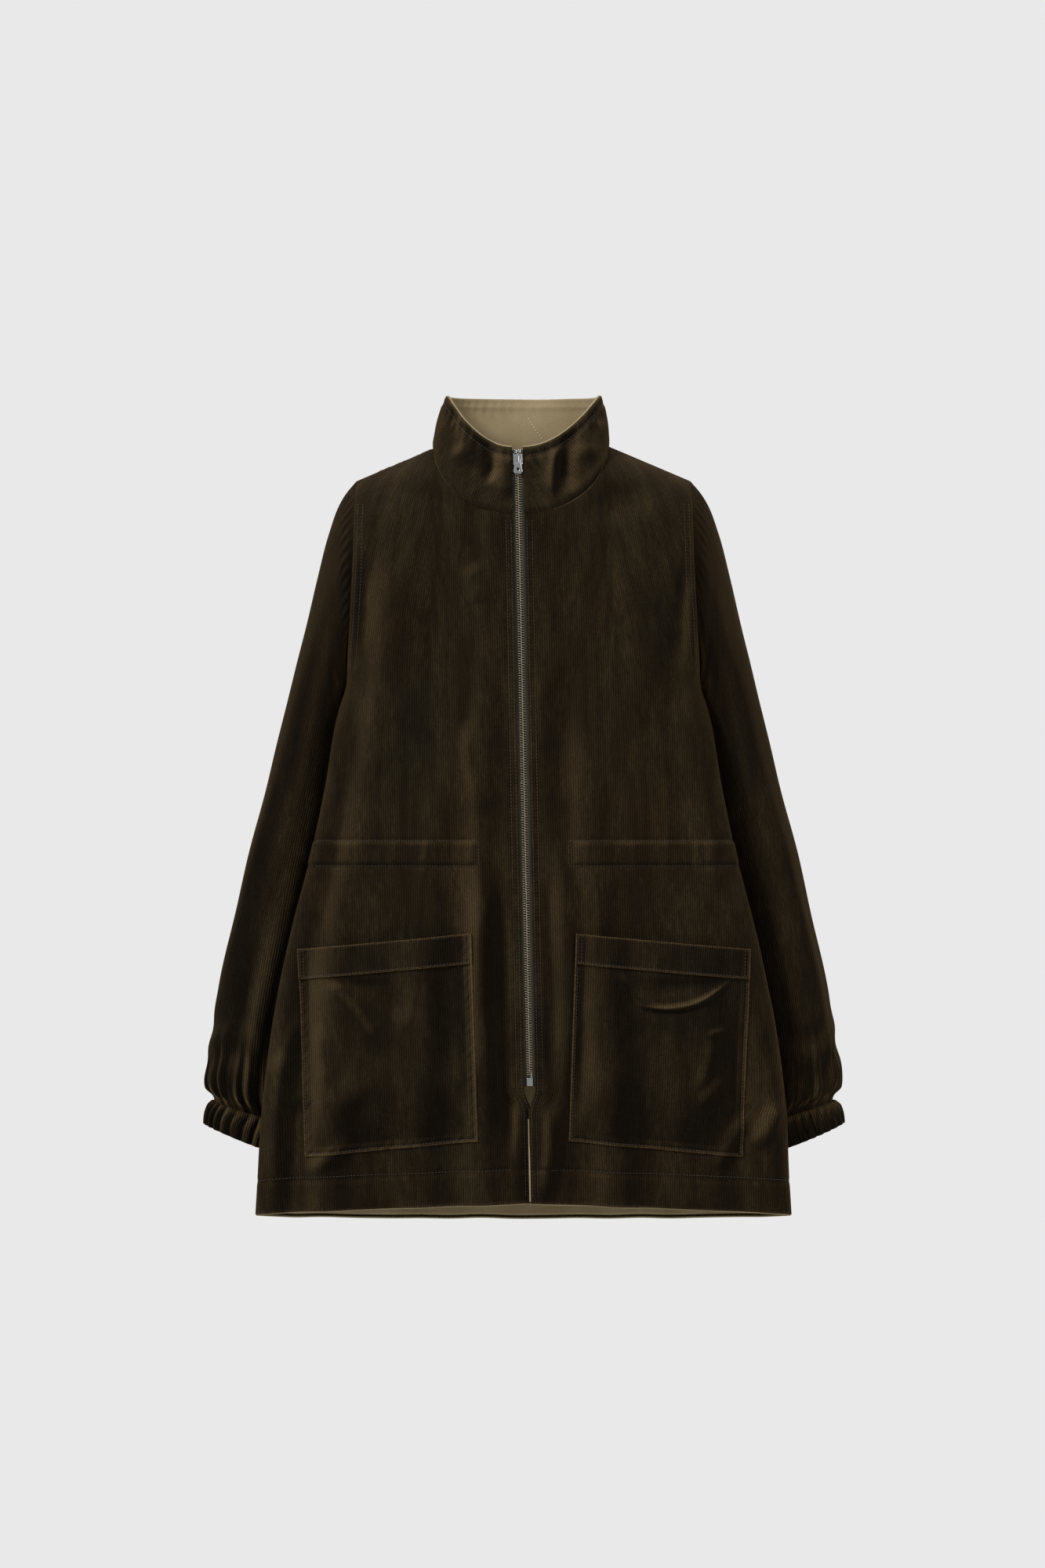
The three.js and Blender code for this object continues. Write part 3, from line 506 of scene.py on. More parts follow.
@dataclass(frozen=True)
class Needlecord:
    """Cotton needlecord: cut pile in fine ridges with random pale patches, a painted highlight on fold slopes
    that face the upper-left light, and painted shade on slopes that face away and in the valleys between the
    ridges.
    """

    name: str = "cotton_needlecord"
    ground: str = "#171009"
    pile: str = "#392c18"
    olive: str = "#322c1b"
    # pale pile: the random brushed patches, and the painted highlight on fold slopes that face the light
    leaning: str = "#5f4f36"
    worn: str = "#7a6546"
    # painted shade: near black on fold slopes that face away from the light and on pieces painted as lying in
    # shadow
    hollow: str = "#070502"
    wale: float = 2.4  # real ridges are about 1.4 mm apart, too fine to show

    def material(self) -> bpy.types.Material:
        """Builds the material."""
        material, tree = new_material(self.name)

        def math_node(operation: str, first: object, second: object, third: object = None) -> object:
            values = {i: v for i, v in enumerate((first, second, third)) if v is not None}
            fixed = {i: v for i, v in values.items() if isinstance(v, (int, float))}
            linked = {i: v for i, v in values.items() if i not in fixed}
            return add_node(tree, "Math", {"operation": operation, **fixed}, linked).outputs[0]

        def mix(share: object, first: object, second: object, blend: str = "MIX") -> object:
            values = {0: share, 6: first, 7: second}
            fixed = {i: v for i, v in values.items() if isinstance(v, (float, tuple))}
            linked = {i: v for i, v in values.items() if i not in fixed}
            settings = {"data_type": "RGBA", "blend_type": blend, **fixed}
            return add_node(tree, "Mix", settings, linked).outputs[2]

        def ramp(value: object, low: float, high: float) -> object:
            return add_node(tree, "MapRange", {1: low, 2: high}, {0: value}).outputs[0]

        uv = add_node(tree, "UVMap", {"uv_map": "cloth"}).outputs["UV"]
        split = add_node(tree, "SeparateXYZ", links={0: uv})
        turn = 2 * math.pi / (self.wale * MM)
        wave = math_node("SINE", math_node("MULTIPLY", split.outputs[0], turn), None)
        obj = add_node(tree, "TexCoord").outputs["Object"]

        def noise(scale: float, detail: float, vector: object, rough: float = 0.6) -> object:
            settings = {"Scale": scale, "Detail": detail, "Roughness": rough}
            return add_node(tree, "TexNoise", settings, {"Vector": vector}).outputs["Fac"]

        def stretched(x: float, y: float) -> object:
            return add_node(tree, "Mapping", {"Scale": (x, y, 1.0)}, {"Vector": uv}).outputs[0]

        patch = ramp(noise(1.0, 6.0, stretched(22.0, 8.0), 0.7), 0.42, 0.68)
        streak = ramp(noise(1.0, 4.0, stretched(52.0, 6.0)), 0.46, 0.72)
        brushed = ramp(noise(1.0, 6.0, stretched(300.0, 60.0), 0.75), 0.4, 0.72)
        fuzz = noise(700.0, 3.0, obj)
        tone = mix(ramp(noise(5.0, 3.0, obj), 0.35, 0.65), linear(self.pile), linear(self.olive))
        lit = math_node("MULTIPLY_ADD", patch, 0.3, math_node("MULTIPLY", streak, 0.35))
        base = mix(math_node("ADD", lit, 0.2), linear(self.ground), tone)
        brushed_patch = math_node("MULTIPLY", math_node("MULTIPLY", patch, brushed), 0.4)
        base = mix(brushed_patch, base, linear(self.leaning))
        # Painted highlight and painted shade: the attribute read below says how far each fold faces a fixed
        # light from the upper left, with the piece's painted shade offset added.
        nap = add_node(tree, "Attribute", {"attribute_name": "nap"}).outputs["Fac"]
        base = mix(math_node("MULTIPLY", ramp(nap, 0.04, 0.5), 0.7), base, linear(self.leaning))
        base = mix(math_node("MULTIPLY", ramp(nap, -0.02, -0.3), 0.72), base, linear(self.hollow))
        wear = add_node(tree, "Attribute", {"attribute_name": "wear"}).outputs["Fac"]
        base = mix(math_node("MULTIPLY", wear, fuzz), base, linear(self.worn))
        # Painted shade: the valleys between the wales are painted darker, as if in their own shadow.
        valley = add_node(tree, "MapRange", {1: -1.0, 2: 0.5, 3: 0.5, 4: 1.0}, {0: wave}).outputs[0]
        speck = add_node(tree, "MapRange", {1: 0.3, 2: 0.7, 3: 0.6, 4: 1.4}, {0: fuzz}).outputs[0]
        base = mix(1.0, mix(1.0, base, valley, "MULTIPLY"), speck, "MULTIPLY")
        height = math_node("MULTIPLY_ADD", fuzz, 0.7, wave)
        bump = add_node(tree, "Bump", {"Strength": 0.6, "Distance": 0.0005}, {"Height": height})
        shader = add_node(
            tree,
            "BsdfPrincipled",
            {
                "Roughness": 0.92,
                "Specular IOR Level": 0.08,
                "Sheen Weight": 0.5,
                "Sheen Roughness": 0.32,
                "Sheen Tint": linear("#93754f"),
            },
            {"Base Color": base, "Normal": bump.outputs[0]},
        )
        add_node(tree, "OutputMaterial", links={"Surface": shader.outputs[0]})
        return material


@dataclass(frozen=True)
class Woven:
    """A plain woven cloth: a twill lining, a zip's tape or an elastic."""

    name: str
    thread: str
    shade: str
    pitch: float
    slant: float = 1.0
    bump: float = 0.3
    sheen: float = 0.15

    def material(self) -> bpy.types.Material:
        """Builds the material: two crossing sets of threads, with the slant a twill shows."""
        material, tree = new_material(self.name)
        uv = add_node(tree, "UVMap", {"uv_map": "cloth"}).outputs["UV"]
        split = add_node(tree, "SeparateXYZ", links={0: uv})
        turn = 2 * math.pi / (self.pitch * MM)
        slant = add_node(
            tree,
            "Math",
            {"operation": "MULTIPLY_ADD", 1: self.slant},
            {0: split.outputs[1], 2: split.outputs[0]},
        )
        rib = add_node(tree, "Math", {"operation": "MULTIPLY", 1: turn}, {0: slant.outputs[0]})
        ribs = add_node(tree, "Math", {"operation": "SINE"}, {0: rib.outputs[0]})
        weft = add_node(tree, "Math", {"operation": "MULTIPLY", 1: turn * 1.7}, {0: split.outputs[1]})
        wefts = add_node(tree, "Math", {"operation": "SINE"}, {0: weft.outputs[0]})
        height = add_node(
            tree, "Math", {"operation": "MULTIPLY_ADD", 1: 0.4}, {0: wefts.outputs[0], 2: ribs.outputs[0]}
        )
        obj = add_node(tree, "TexCoord").outputs["Object"]
        cloud = add_node(tree, "TexNoise", {"Scale": 14.0, "Detail": 4.0, "Roughness": 0.6}, {"Vector": obj})
        slub = add_node(tree, "TexNoise", {"Scale": 600.0, "Detail": 1.0}, {"Vector": obj})
        shade = add_node(
            tree,
            "Math",
            {"operation": "MULTIPLY_ADD", 1: 0.25},
            {0: slub.outputs["Fac"], 2: cloud.outputs["Fac"]},
        )
        depth = add_node(tree, "MapRange", {1: 0.35, 2: 0.95}, {0: shade.outputs[0]})
        colours = {"data_type": "RGBA", 6: linear(self.shade), 7: linear(self.thread)}
        base = add_node(tree, "Mix", colours, {0: depth.outputs[0]})
        relief = {"Strength": self.bump, "Distance": 0.0002}
        bump = add_node(tree, "Bump", relief, {"Height": height.outputs[0]})
        shader = add_node(
            tree,
            "BsdfPrincipled",
            {
                "Roughness": 0.85,
                "Specular IOR Level": 0.2,
                "Sheen Weight": self.sheen,
                "Sheen Roughness": 0.5,
            },
            {"Base Color": base.outputs[2], "Normal": bump.outputs[0]},
        )
        add_node(tree, "OutputMaterial", links={"Surface": shader.outputs[0]})
        return material


@dataclass(frozen=True)
class Metal:
    """Plated or bare metal with the fine scuffs of use."""

    name: str
    colour: str
    dull: str
    roughness: float

    def material(self) -> bpy.types.Material:
        """Builds the material."""
        material, tree = new_material(self.name)
        obj = add_node(tree, "TexCoord").outputs["Object"]
        grain = {"Scale": 900.0, "Detail": 5.0, "Roughness": 0.65}
        scuff = add_node(tree, "TexNoise", grain, {"Vector": obj}).outputs["Fac"]
        polish = {1: 0.3, 2: 0.7, 3: self.roughness * 0.7, 4: self.roughness * 1.5}
        rough = add_node(tree, "MapRange", polish, {0: scuff})
        colours = {"data_type": "RGBA", 6: linear(self.dull), 7: linear(self.colour)}
        base = add_node(tree, "Mix", colours, {0: scuff})
        bump = add_node(tree, "Bump", {"Strength": 0.12, "Distance": 0.0001}, {"Height": scuff})
        shader = add_node(
            tree,
            "BsdfPrincipled",
            {"Metallic": 1.0},
            {"Base Color": base.outputs[2], "Roughness": rough.outputs[0], "Normal": bump.outputs[0]},
        )
        add_node(tree, "OutputMaterial", links={"Surface": shader.outputs[0]})
        return material


@dataclass(frozen=True)
class Thread:
    """Twisted sewing thread."""

    name: str
    colour: str

    def material(self) -> bpy.types.Material:
        """Builds the material."""
        material, tree = new_material(self.name)
        obj = add_node(tree, "TexCoord").outputs["Object"]
        twist = add_node(tree, "TexWave", {"Scale": 900.0, "Distortion": 1.0}, {"Vector": obj})
        bump = add_node(tree, "Bump", {"Strength": 0.3, "Distance": 0.0001}, {"Height": twist.outputs["Fac"]})
        shader = add_node(
            tree,
            "BsdfPrincipled",
            {"Base Color": linear(self.colour), "Roughness": 0.7, "Sheen Weight": 0.2},
            {"Normal": bump.outputs[0]},
        )
        add_node(tree, "OutputMaterial", links={"Surface": shader.outputs[0]})
        return material


@dataclass
class Finishes:
    """Every material that the jacket uses."""

    cord: bpy.types.Material = field(default_factory=Needlecord().material)
    twill: bpy.types.Material = field(
        default_factory=Woven("khaki_cotton_twill", "#a8987a", "#857554", 1.4).material
    )
    tape: bpy.types.Material = field(
        default_factory=Woven("polyester_zip_tape", "#48443c", "#2c2a25", 1.1, slant=0.0, bump=0.5).material
    )
    elastic: bpy.types.Material = field(
        default_factory=Woven("woven_elastic", "#d8d3c6", "#bdb7a8", 1.6, slant=0.0, bump=0.5).material
    )
    teeth: bpy.types.Material = field(
        default_factory=Metal("bare_aluminium_teeth", "#a39b8a", "#6b6456", 0.36).material
    )
    nickel: bpy.types.Material = field(
        default_factory=Metal("nickel_plated_zinc", "#dfe4e8", "#b4bac0", 0.2).material
    )
    thread: bpy.types.Material = field(default_factory=Thread("brown_sewing_thread", "#33281a").material)
    pale_thread: bpy.types.Material = field(default_factory=Thread("cream_sewing_thread", "#cfc4a8").material)


# ------------------------------------------------------------------ folds


def down_the_middle(y: float = 0.0, drop: float = 60.0) -> Callable[[Array], Array]:
    """Points on the jacket's middle line, which its cloth faces away from."""
    return lambda p: points(0 * p[:, 0], y, p[:, 2] - drop)


FRONT_CREASES = {
    Side.LEFT: (
        Crease((22, -440), (30, -700), 9, -4.5, bow=-5, lean=0.5),
        Crease((38, -430), (44, -690), 12, 4.5, bow=6),
        Crease((10, -560), (14, -770), 6, 3.5, bow=-4),
        Crease((24, -690), (12, -800), 9, 5.0, bow=8),
        Crease((52, -96), (150, -60), 16, -1.4, bow=5),
        Crease((118, -90), (128, -300), 22, 1.8, bow=6),
        Crease((70, -120), (52, -390), 20, -1.8, bow=-6),
        Crease((232, -560), (262, -760), 12, 3.6, bow=8, lean=0.4),
        Crease((236, -740), (262, -690), 9, 2.6),
        Crease((196, -760), (230, -700), 8, 2.2),
        Crease((176, -130), (160, -250), 12, -3.0, bow=-5),
    ),
    Side.RIGHT: (
        Crease((-24, -455), (-16, -750), 8, -5.0, bow=6, lean=-0.5),
        Crease((-40, -440), (-32, -700), 11, 4.5, bow=-6),
        Crease((-8, -520), (-4, -790), 7, 4.0, bow=4),
        Crease((-57, -300), (-42, -396), 9, 2.2, bow=-4),
        Crease((-54, -138), (-42, -182), 9, 1.6),
        Crease((-60, -92), (-142, -60), 16, -1.6, bow=-6),
        Crease((-112, -100), (-140, -380), 24, 2.0, bow=-8),
        Crease((-84, -120), (-92, -400), 20, -1.8, bow=6),
        Crease((-236, -600), (-254, -780), 12, 3.4, bow=-8, lean=-0.4),
        Crease((-252, -640), (-226, -700), 9, 2.4),
        Crease((-222, -764), (-176, -730), 9, 2.2),
        Crease((-168, -120), (-176, -240), 12, -2.6, bow=4),
    ),
}

BACK_CREASES = (
    Crease((0, -60), (10, -420), 30, 2.2, bow=8),
    Crease((-90, -80), (-120, -440), 26, 2.6, bow=-10),
    Crease((100, -90), (124, -450), 26, 2.4, bow=10),
    Crease((-60, -460), (-86, -800), 20, 4.2, bow=-8),
    Crease((40, -470), (56, -810), 20, 4.4, bow=8),
    Crease((150, -480), (190, -790), 18, 4.0, bow=10),
    Crease((-160, -480), (-196, -790), 18, 4.0, bow=-10),
)


@dataclass(frozen=True)
class Panel:
    """A front or the back, with the folds that every layer of cloth on it shares."""

    front: bool
    side: int
    creases: tuple[Crease, ...]
    seed: int

    def lift(self, p: Array) -> Array:
        """How far the folds lift the cloth at smooth places of the panel."""
        x, z = p[:, 0], p[:, 2]
        wide = through(BODY.side_x, z)
        middle = BODY.front_middle(self.side, z) if self.front else 0 * z
        reach = (x - middle) / (self.side * wide - middle) if self.front else np.abs(x) / wide
        inside = 1 - step(reach, 0.86, 1.0)
        if self.front:
            inside = inside * step(reach, 0.02, 0.22)
        low = step(-z, 100, 780)
        drift = 0.6 * np.sin(z / 150 + self.seed)
        fan = ripple(x / wide * 21 + drift, self.seed) * (0.8 + 4.0 * low)
        soft = ripple(x / 27 + 0.8 * np.sin(z / 47 + self.seed), self.seed + 1)
        soft = soft * ripple(z / 39, self.seed + 2)
        fine = ripple(x / 9 + z / 31, self.seed + 3) * ripple(z / 13, self.seed + 4)
        lift = inside * (fan + 1.4 * soft + 0.4 * fine)
        lift = lift + 0.9 * ripple(z / 52, 5) * step(-z, 300, 560)
        for crease in self.creases:
            lift = lift + 1.5 * crease.lift(x, z)
        if self.front:
            over_tape = step(np.abs(x - middle), 8, 24)
            lift = np.where(lift < 0, lift * over_tape, lift * (0.35 + 0.65 * over_tape))
        lift = lift + self.sewn(x, z, reach, middle)
        armhole = step(reach, 0.9, 0.99) * step(z, -330, -285)
        return lift * (1 - armhole) * step(BODY.ridge_z(x) - z, 0, 14)

    def sewn(self, x: Array, z: Array, reach: Array, middle: Array) -> Array:
        """The dents and puckers that the stitching pulls into the cloth."""
        top, bottom = BODY.tunnel
        share = reach if self.front else 1.0
        level = z
        between = step(level, bottom - 3, bottom + 2) * (1 - step(level, top - 2, top + 3))
        from_zip = np.abs(x - middle)
        starts = step(from_zip, 42, 50) if self.front else 1.0
        gathers = 0.3 * ripple(x / 2.6, 12) * (1 + 0.8 * np.sin(x / 23))
        tunnel = starts * (0.9 * between + gathers * bell(level - (top + bottom) / 2, 12))
        tunnel = tunnel - starts * 0.5 * (bell(level - top - 2, 2.2) + bell(level - bottom + 2, 2.2))
        pucker = 0.22 * ripple(x / 2.2, 14) * bell(level - self.hem_stitch(share), 9)
        hem = pucker - 0.5 * bell(level - self.hem_stitch(share), 2.2)
        if not self.front:
            return tunnel + hem
        ajar = step(-z, 672, 716) * bell(from_zip, 24) * (2.6 if self.side > 0 else -1.4)
        beside = ajar + 0.16 * ripple(z / 2.0, self.seed) * bell(from_zip - 6, 5)
        return tunnel + hem + beside - 0.6 * bell(from_zip - 8, 1.8)

    def hem_stitch(self, share: Array) -> Array:
        """The height of the hem's stitching."""
        return BODY.hem(self.front, share) + 35

    def lay(self, x: Array, z: Array, proud: float | Array) -> tuple[Array, Array]:
        """Places on the creased panel at given x and z, and the normals there."""
        x, z = np.broadcast_arrays(np.asarray(x, float), np.asarray(z, float))
        side = self.side or 1
        share = BODY.share_at(self.front, side, x, z) if self.front else (
            np.arcsin(np.clip(x / through(BODY.side_x, z), -1, 1)) * 2 / math.pi
        )
        smooth = BODY.point(self.front, side, share, z)
        wider, lower = np.clip(share + 2e-3, -1, 1), z - 0.4
        across = BODY.point(self.front, side, wider, z) - BODY.point(self.front, side, wider - 4e-3, z)
        down = BODY.point(self.front, side, share, lower) - BODY.point(self.front, side, share, lower + 0.8)
        normal = unit(np.cross(across, down))
        outward = np.sum(normal * (smooth - down_the_middle()(smooth)), axis=1)
        normal = normal * np.where(outward < 0, -1, 1)[:, None]
        return smooth + normal * (self.lift(smooth) + proud)[:, None], normal


# ------------------------------------------------------------------ fronts, back and their insides


def panel_level(v: Array) -> Array:
    """Levels from the shoulder down, closest together where the cloth rolls over it."""
    roll = 0.12
    rolled = BODY.roll * (1 - np.cos(np.minimum(v / roll, 1) * math.pi / 2))
    rest = np.maximum(0, (v - roll) / (1 - roll)) * (BODY.shoulder_z - BODY.hem_z - BODY.roll)
    return BODY.shoulder_z - rolled - rest


def panel_share(u: Array) -> Array:
    """Shares of a panel from its middle to its side, closest together at the neck's corner."""
    neck, turn = 0.42, 0.93 * math.pi / 2
    x = BODY.neck_half * np.sin(turn * np.minimum(u / neck, 1)) / math.sin(turn)
    corner = math.asin(BODY.neck_half / BODY.shoulder_half) * 2 / math.pi
    beyond = corner + (1 - corner) * (u - neck) / (1 - neck)
    return np.where(u < neck, np.arcsin(x / BODY.shoulder_half) * 2 / math.pi, beyond)


@dataclass
class Layer:
    """One layer of a panel: how deep it lies, how thick it is and where it starts and ends."""

    name: str
    finish: str
    depth: float
    thickness: float
    start: float = 0.0
    top: tuple[float, float] | None = None  # height above a level: the level, and how far above
    bottom: tuple[float, float] | None = None
    detail: float = 1.0


@dataclass
class PanelPiece:
    """Builds the layers of one panel."""

    panel: Panel
    finishes: Finishes

    def levels(self, layer: Layer, share: Array, v: Array) -> Array:
        """The heights of a layer's rows."""
        front = self.panel.front
        if layer.top is None:
            z = BODY.level_z(front, share, panel_level(v))
            return z if layer.bottom is None else z + layer.bottom[1] * step(v, 0.9, 1)
        high = BODY.level_z(front, share, layer.top[0] + 0 * v) + layer.top[1]
        low = BODY.level_z(front, share, layer.bottom[0] + 0 * v) + layer.bottom[1]
        return high + (low - high) * v

    def place(self, layer: Layer, u: Array, v: Array) -> Array:
        """The smooth places of a layer's corners."""
        side = self.panel.side
        if not self.panel.front:
            share = np.sign(u - 0.5) * panel_share(np.abs(2 * u - 1))
            return BODY.point(False, 1, share, self.levels(layer, np.abs(share), v))
        share = panel_share(u)
        z = self.levels(layer, share, v)
        first = BODY.share_at(True, side, BODY.front_middle(side, z) + side * layer.start, z)
        share = first + (1 - first) * share
        return BODY.point(True, side, share, self.levels(layer, share, v))

    def build(self, layer: Layer, columns: int, rows: int) -> tuple[bpy.types.Object, Sheet]:
        """Builds one layer of the panel."""
        sheet = Sheet(
            name=layer.name,
            columns=max(8, round(columns * layer.detail)),
            rows=max(3, round(rows * layer.detail)),
            place=lambda u, v: self.place(layer, u, v),
            lift=lambda u, v, p: self.panel.lift(p),
            depth=layer.depth,
            thickness=layer.thickness,
            material=getattr(self.finishes, layer.finish),
            away_from=down_the_middle(),
            centred=not self.panel.front,
            wear=self.wear if layer.finish == "cord" else None,
            # Painted shade: the fronts and back are painted darker from the waist down.
            lie=lambda u, v, p: -0.02 - 0.08 * step(-p[:, 2], 440, 620),
        )
        if layer.finish == "twill" and layer.top is None:
            sheet.lift = lambda u, v, p: self.panel.lift(p) - 1.6 * (1 - step(v, 0.0, 0.03))
        obj = sheet.build()
        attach(obj, "jacket")
        return obj, sheet

    def wear(self, u: Array, v: Array, p: Array) -> Array:
        """Where the pile is rubbed: along the hem."""
        hem = bell(p[:, 2] - BODY.hem(self.panel.front, u if self.panel.front else np.abs(2 * u - 1)), 1.6)
        return np.clip(0.5 * hem, 0, 1)


FACING_WIDTH = 34
LINING_START = 8.4
SLIDE = -808.0


def front_layers(name: str) -> tuple[Layer, ...]:
    """The layers of one front, from its face inwards."""
    high, low = BODY.tunnel
    return (
        Layer(f"shell_front_{name}", "cord", 0, 1.4),
        Layer(f"lining_front_{name}", "twill", 1.75, 0.8, start=LINING_START, bottom=(SLIDE, 3), detail=0.5),
        Layer(
            f"hem_facing_front_{name}",
            "twill",
            2.9,
            0.8,
            start=FACING_WIDTH + 0.6,
            top=(SLIDE, 34),
            bottom=(SLIDE, 3),
            detail=0.6,
        ),
        Layer(f"waist_casing_front_{name}", "twill", 4.05, 0.5, 45, (high, 2), (low, -2), detail=0.6),
        Layer(f"waist_tape_front_{name}", "elastic", 2.9, 0.8, 45, (high, -3), (low, 3), detail=0.6),
    )


def back_layers() -> tuple[Layer, ...]:
    """The layers of the back, from its face inwards."""
    high, low = BODY.tunnel
    return (
        Layer("shell_back", "cord", 0, 1.4),
        Layer("lining_back", "twill", 1.75, 0.8, bottom=(SLIDE, 3), detail=0.6),
        Layer("hem_facing_back", "twill", 2.9, 0.8, top=(SLIDE, 34), bottom=(SLIDE, 3), detail=0.7),
        Layer("waist_casing_back", "twill", 4.05, 0.5, top=(high, 2), bottom=(low, -2), detail=0.7),
        Layer("waist_tape_back", "elastic", 2.9, 0.8, top=(high, -3), bottom=(low, 3), detail=0.7),
    )


@dataclass
class Fronts:
    """Both fronts, with their linings, facings and waist tunnels."""

    finishes: Finishes
    panels: dict[Side, Panel] = field(default_factory=dict)

    def build(self) -> None:
        """Builds every layer of both fronts."""
        for side in Side:
            panel = Panel(True, side.value, FRONT_CREASES[side], 11 if side is Side.LEFT else 23)
            self.panels[side] = panel
            piece = PanelPiece(panel, self.finishes)
            for layer in front_layers(side.label):
                narrow = layer.top is not None
                obj, sheet = piece.build(layer, 138, 18 if narrow else 350)
                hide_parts(layer.name)
                sheet.declare(obj, "hung" if layer.finish != "elastic" else "gathered")
            self.facing(side, panel)

    def facing(self, side: Side, panel: Panel) -> None:
        """Builds the strip that covers the zip's tape inside a front."""

        def place(u: Array, v: Array) -> Array:
            z = BODY.level_z(True, 0 * v, panel_level(v)) + 3 * step(v, 0.9, 1)
            x = BODY.front_middle(side.value, z) + side.value * (2 + u * (FACING_WIDTH - 2))
            return BODY.point(True, side.value, BODY.share_at(True, side.value, x, z), z)

        sheet = Sheet(
            name=f"front_facing_{side.label}",
            columns=20,
            rows=300,
            place=place,
            lift=lambda u, v, p: panel.lift(p),
            depth=2.9,
            thickness=0.8,
            material=self.finishes.twill,
            away_from=down_the_middle(),
        )
        obj = sheet.build()
        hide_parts(f"front_facing_{side.label}")
        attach(obj, "jacket")
        sheet.declare(obj, "hung")


@dataclass
class Back:
    """The back, with its lining, hem facing and waist tunnel."""

    finishes: Finishes
    panel: Panel = field(default_factory=lambda: Panel(False, 0, BACK_CREASES, 37))

    def build(self) -> None:
        """Builds every layer of the back."""
        piece = PanelPiece(self.panel, self.finishes)
        for layer in back_layers():
            narrow = layer.top is not None
            obj, sheet = piece.build(layer, 190, 18 if narrow else 250)
            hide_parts(layer.name)
            sheet.declare(obj, "hung" if layer.finish != "elastic" else "gathered")


# ------------------------------------------------------------------ collar


COLLAR_CREASES = (
    Crease((-40, -2), (-34, -58), 9, -3.6, bow=7, lean=0.6),
    Crease((-22, -24), (-20, -74), 10, 2.2, bow=3),
    Crease((-60, 22), (-58, -40), 12, 2.4, bow=-5),
    Crease((-77, 24), (-70, -30), 8, -2.4, bow=4),
    Crease((36, -14), (28, -74), 8, 3.0, bow=-4, lean=-0.5),
    Crease((52, 0), (46, -66), 9, -3.4, bow=-5),
    Crease((68, 20), (64, -34), 10, 2.4, bow=5),
    Crease((80, 22), (72, -28), 8, -2.2, bow=-4),
)


@dataclass
class Collar:
    """The stand collar: its cord face and its khaki lining."""

    finishes: Finishes
    rim_half: float = 80
    rim_y: float = -6
    rim_depth: tuple[float, float] = (56, 44)
    rim_z: tuple[float, float] = (-20, 37)

    def place(self, angle: Array, height: Array) -> Array:
        """A place on the collar's face: angle 0 is the back's middle and height 1 the rim."""
        side = np.where(angle < 0, -1, 1)
        front = np.abs(angle) > math.pi / 2
        across = np.abs(np.sin(angle))
        share = np.arcsin(np.minimum(1, BODY.neck_half * across / BODY.shoulder_half)) * 2 / math.pi
        rim_z = np.where(front, self.rim_z[0] + (self.rim_z[1] - self.rim_z[0]) * across**2, self.rim_z[1])
        out = np.empty((len(angle), 3))
        for sign in (-1, 1):
            for fore in (True, False):
                here = (side == sign) & (front == fore)
                seam = BODY.point(fore, sign, share[here], BODY.neck(fore, np.minimum(1, across[here])))
                seam[:, 2] += 0.3
                seam[:, 0] -= sign * across[here] * 0.6
                turn = np.abs(np.cos(angle[here]))
                sweep = self.rim_depth[1] * turn
                if fore:
                    sweep = -self.rim_depth[0] * np.minimum(1, turn**0.6 / 0.992)
                middle = BODY.front_middle(sign, rim_z[here]) if fore else 0
                rim_x = middle + (sign * self.rim_half - middle) * across[here]
                rim = points(rim_x, self.rim_y + sweep, rim_z[here])
                out[here] = seam + (rim - seam) * height[here][:, None]
                out[here, 0] += sign * across[here] * 14 * height[here] * (1 - height[here])
        return out

    def lift(self, p: Array, height: Array, angle: Array) -> Array:
        """The collar's dents and ridges, and the slight pinch of its seams."""
        fore = step(-p[:, 1], -4, 22)
        lift = 1.5 * sum(crease.lift(p[:, 0], p[:, 2]) for crease in COLLAR_CREASES) * fore
        lift = lift + 0.8 * ripple(angle * 4.5, 3) * (0.4 + height) * step(height, 0, 0.3)
        lift = lift - 0.8 * bell((1 - height) * 52 - 7, 2.4) + 0.9 * bell(height * 50 - 5, 6)
        lift = lift - 0.6 * bell(height * 50, 2.5)
        return lift + 0.3 * np.sin(angle * 46 + ripple(angle * 6, 8)) * bell((1 - height) * 52 - 7, 8)

    def sheet(self, name: str, depth: float, thick: float, grid: tuple, reach: tuple, finish: str) -> Sheet:
        """One layer of the collar."""

        def angle_of(u: Array) -> Array:
            return (2 * u - 1) * (math.pi - 1e-6)

        def height_of(v: Array) -> Array:
            return reach[1] + (reach[0] - reach[1]) * v

        return Sheet(
            name=name,
            columns=grid[0],
            rows=grid[1],
            place=lambda u, v: self.place(angle_of(u), height_of(v)),
            lift=lambda u, v, p: self.lift(p, height_of(v), angle_of(u)),
            depth=depth,
            thickness=thick,
            material=getattr(self.finishes, finish),
            away_from=lambda p: points(0 * p[:, 0], -10, p[:, 2]),
            centred=True,
            wear=lambda u, v, p: 0.5 * bell((1 - height_of(v)) * 52, 1.6),
        )

    def build(self) -> tuple[Sheet, Sheet]:
        """Builds the face and the lining."""
        face = self.sheet("shell_collar", 0, 1.4, (340, 60), (0, 1), "cord")
        lining = self.sheet("lining_collar", 2.9, 0.8, (240, 44), (0.08, 1.012), "twill")
        for sheet, nodes in ((face, ["shell_collar"]), (lining, ["lining_collar", "collar_interlining"])):
            obj = sheet.build()
            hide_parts(*nodes)
            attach(obj, "jacket")
            sheet.declare(obj, "hung")
        return face, lining


# ------------------------------------------------------------------ sleeves and cuffs

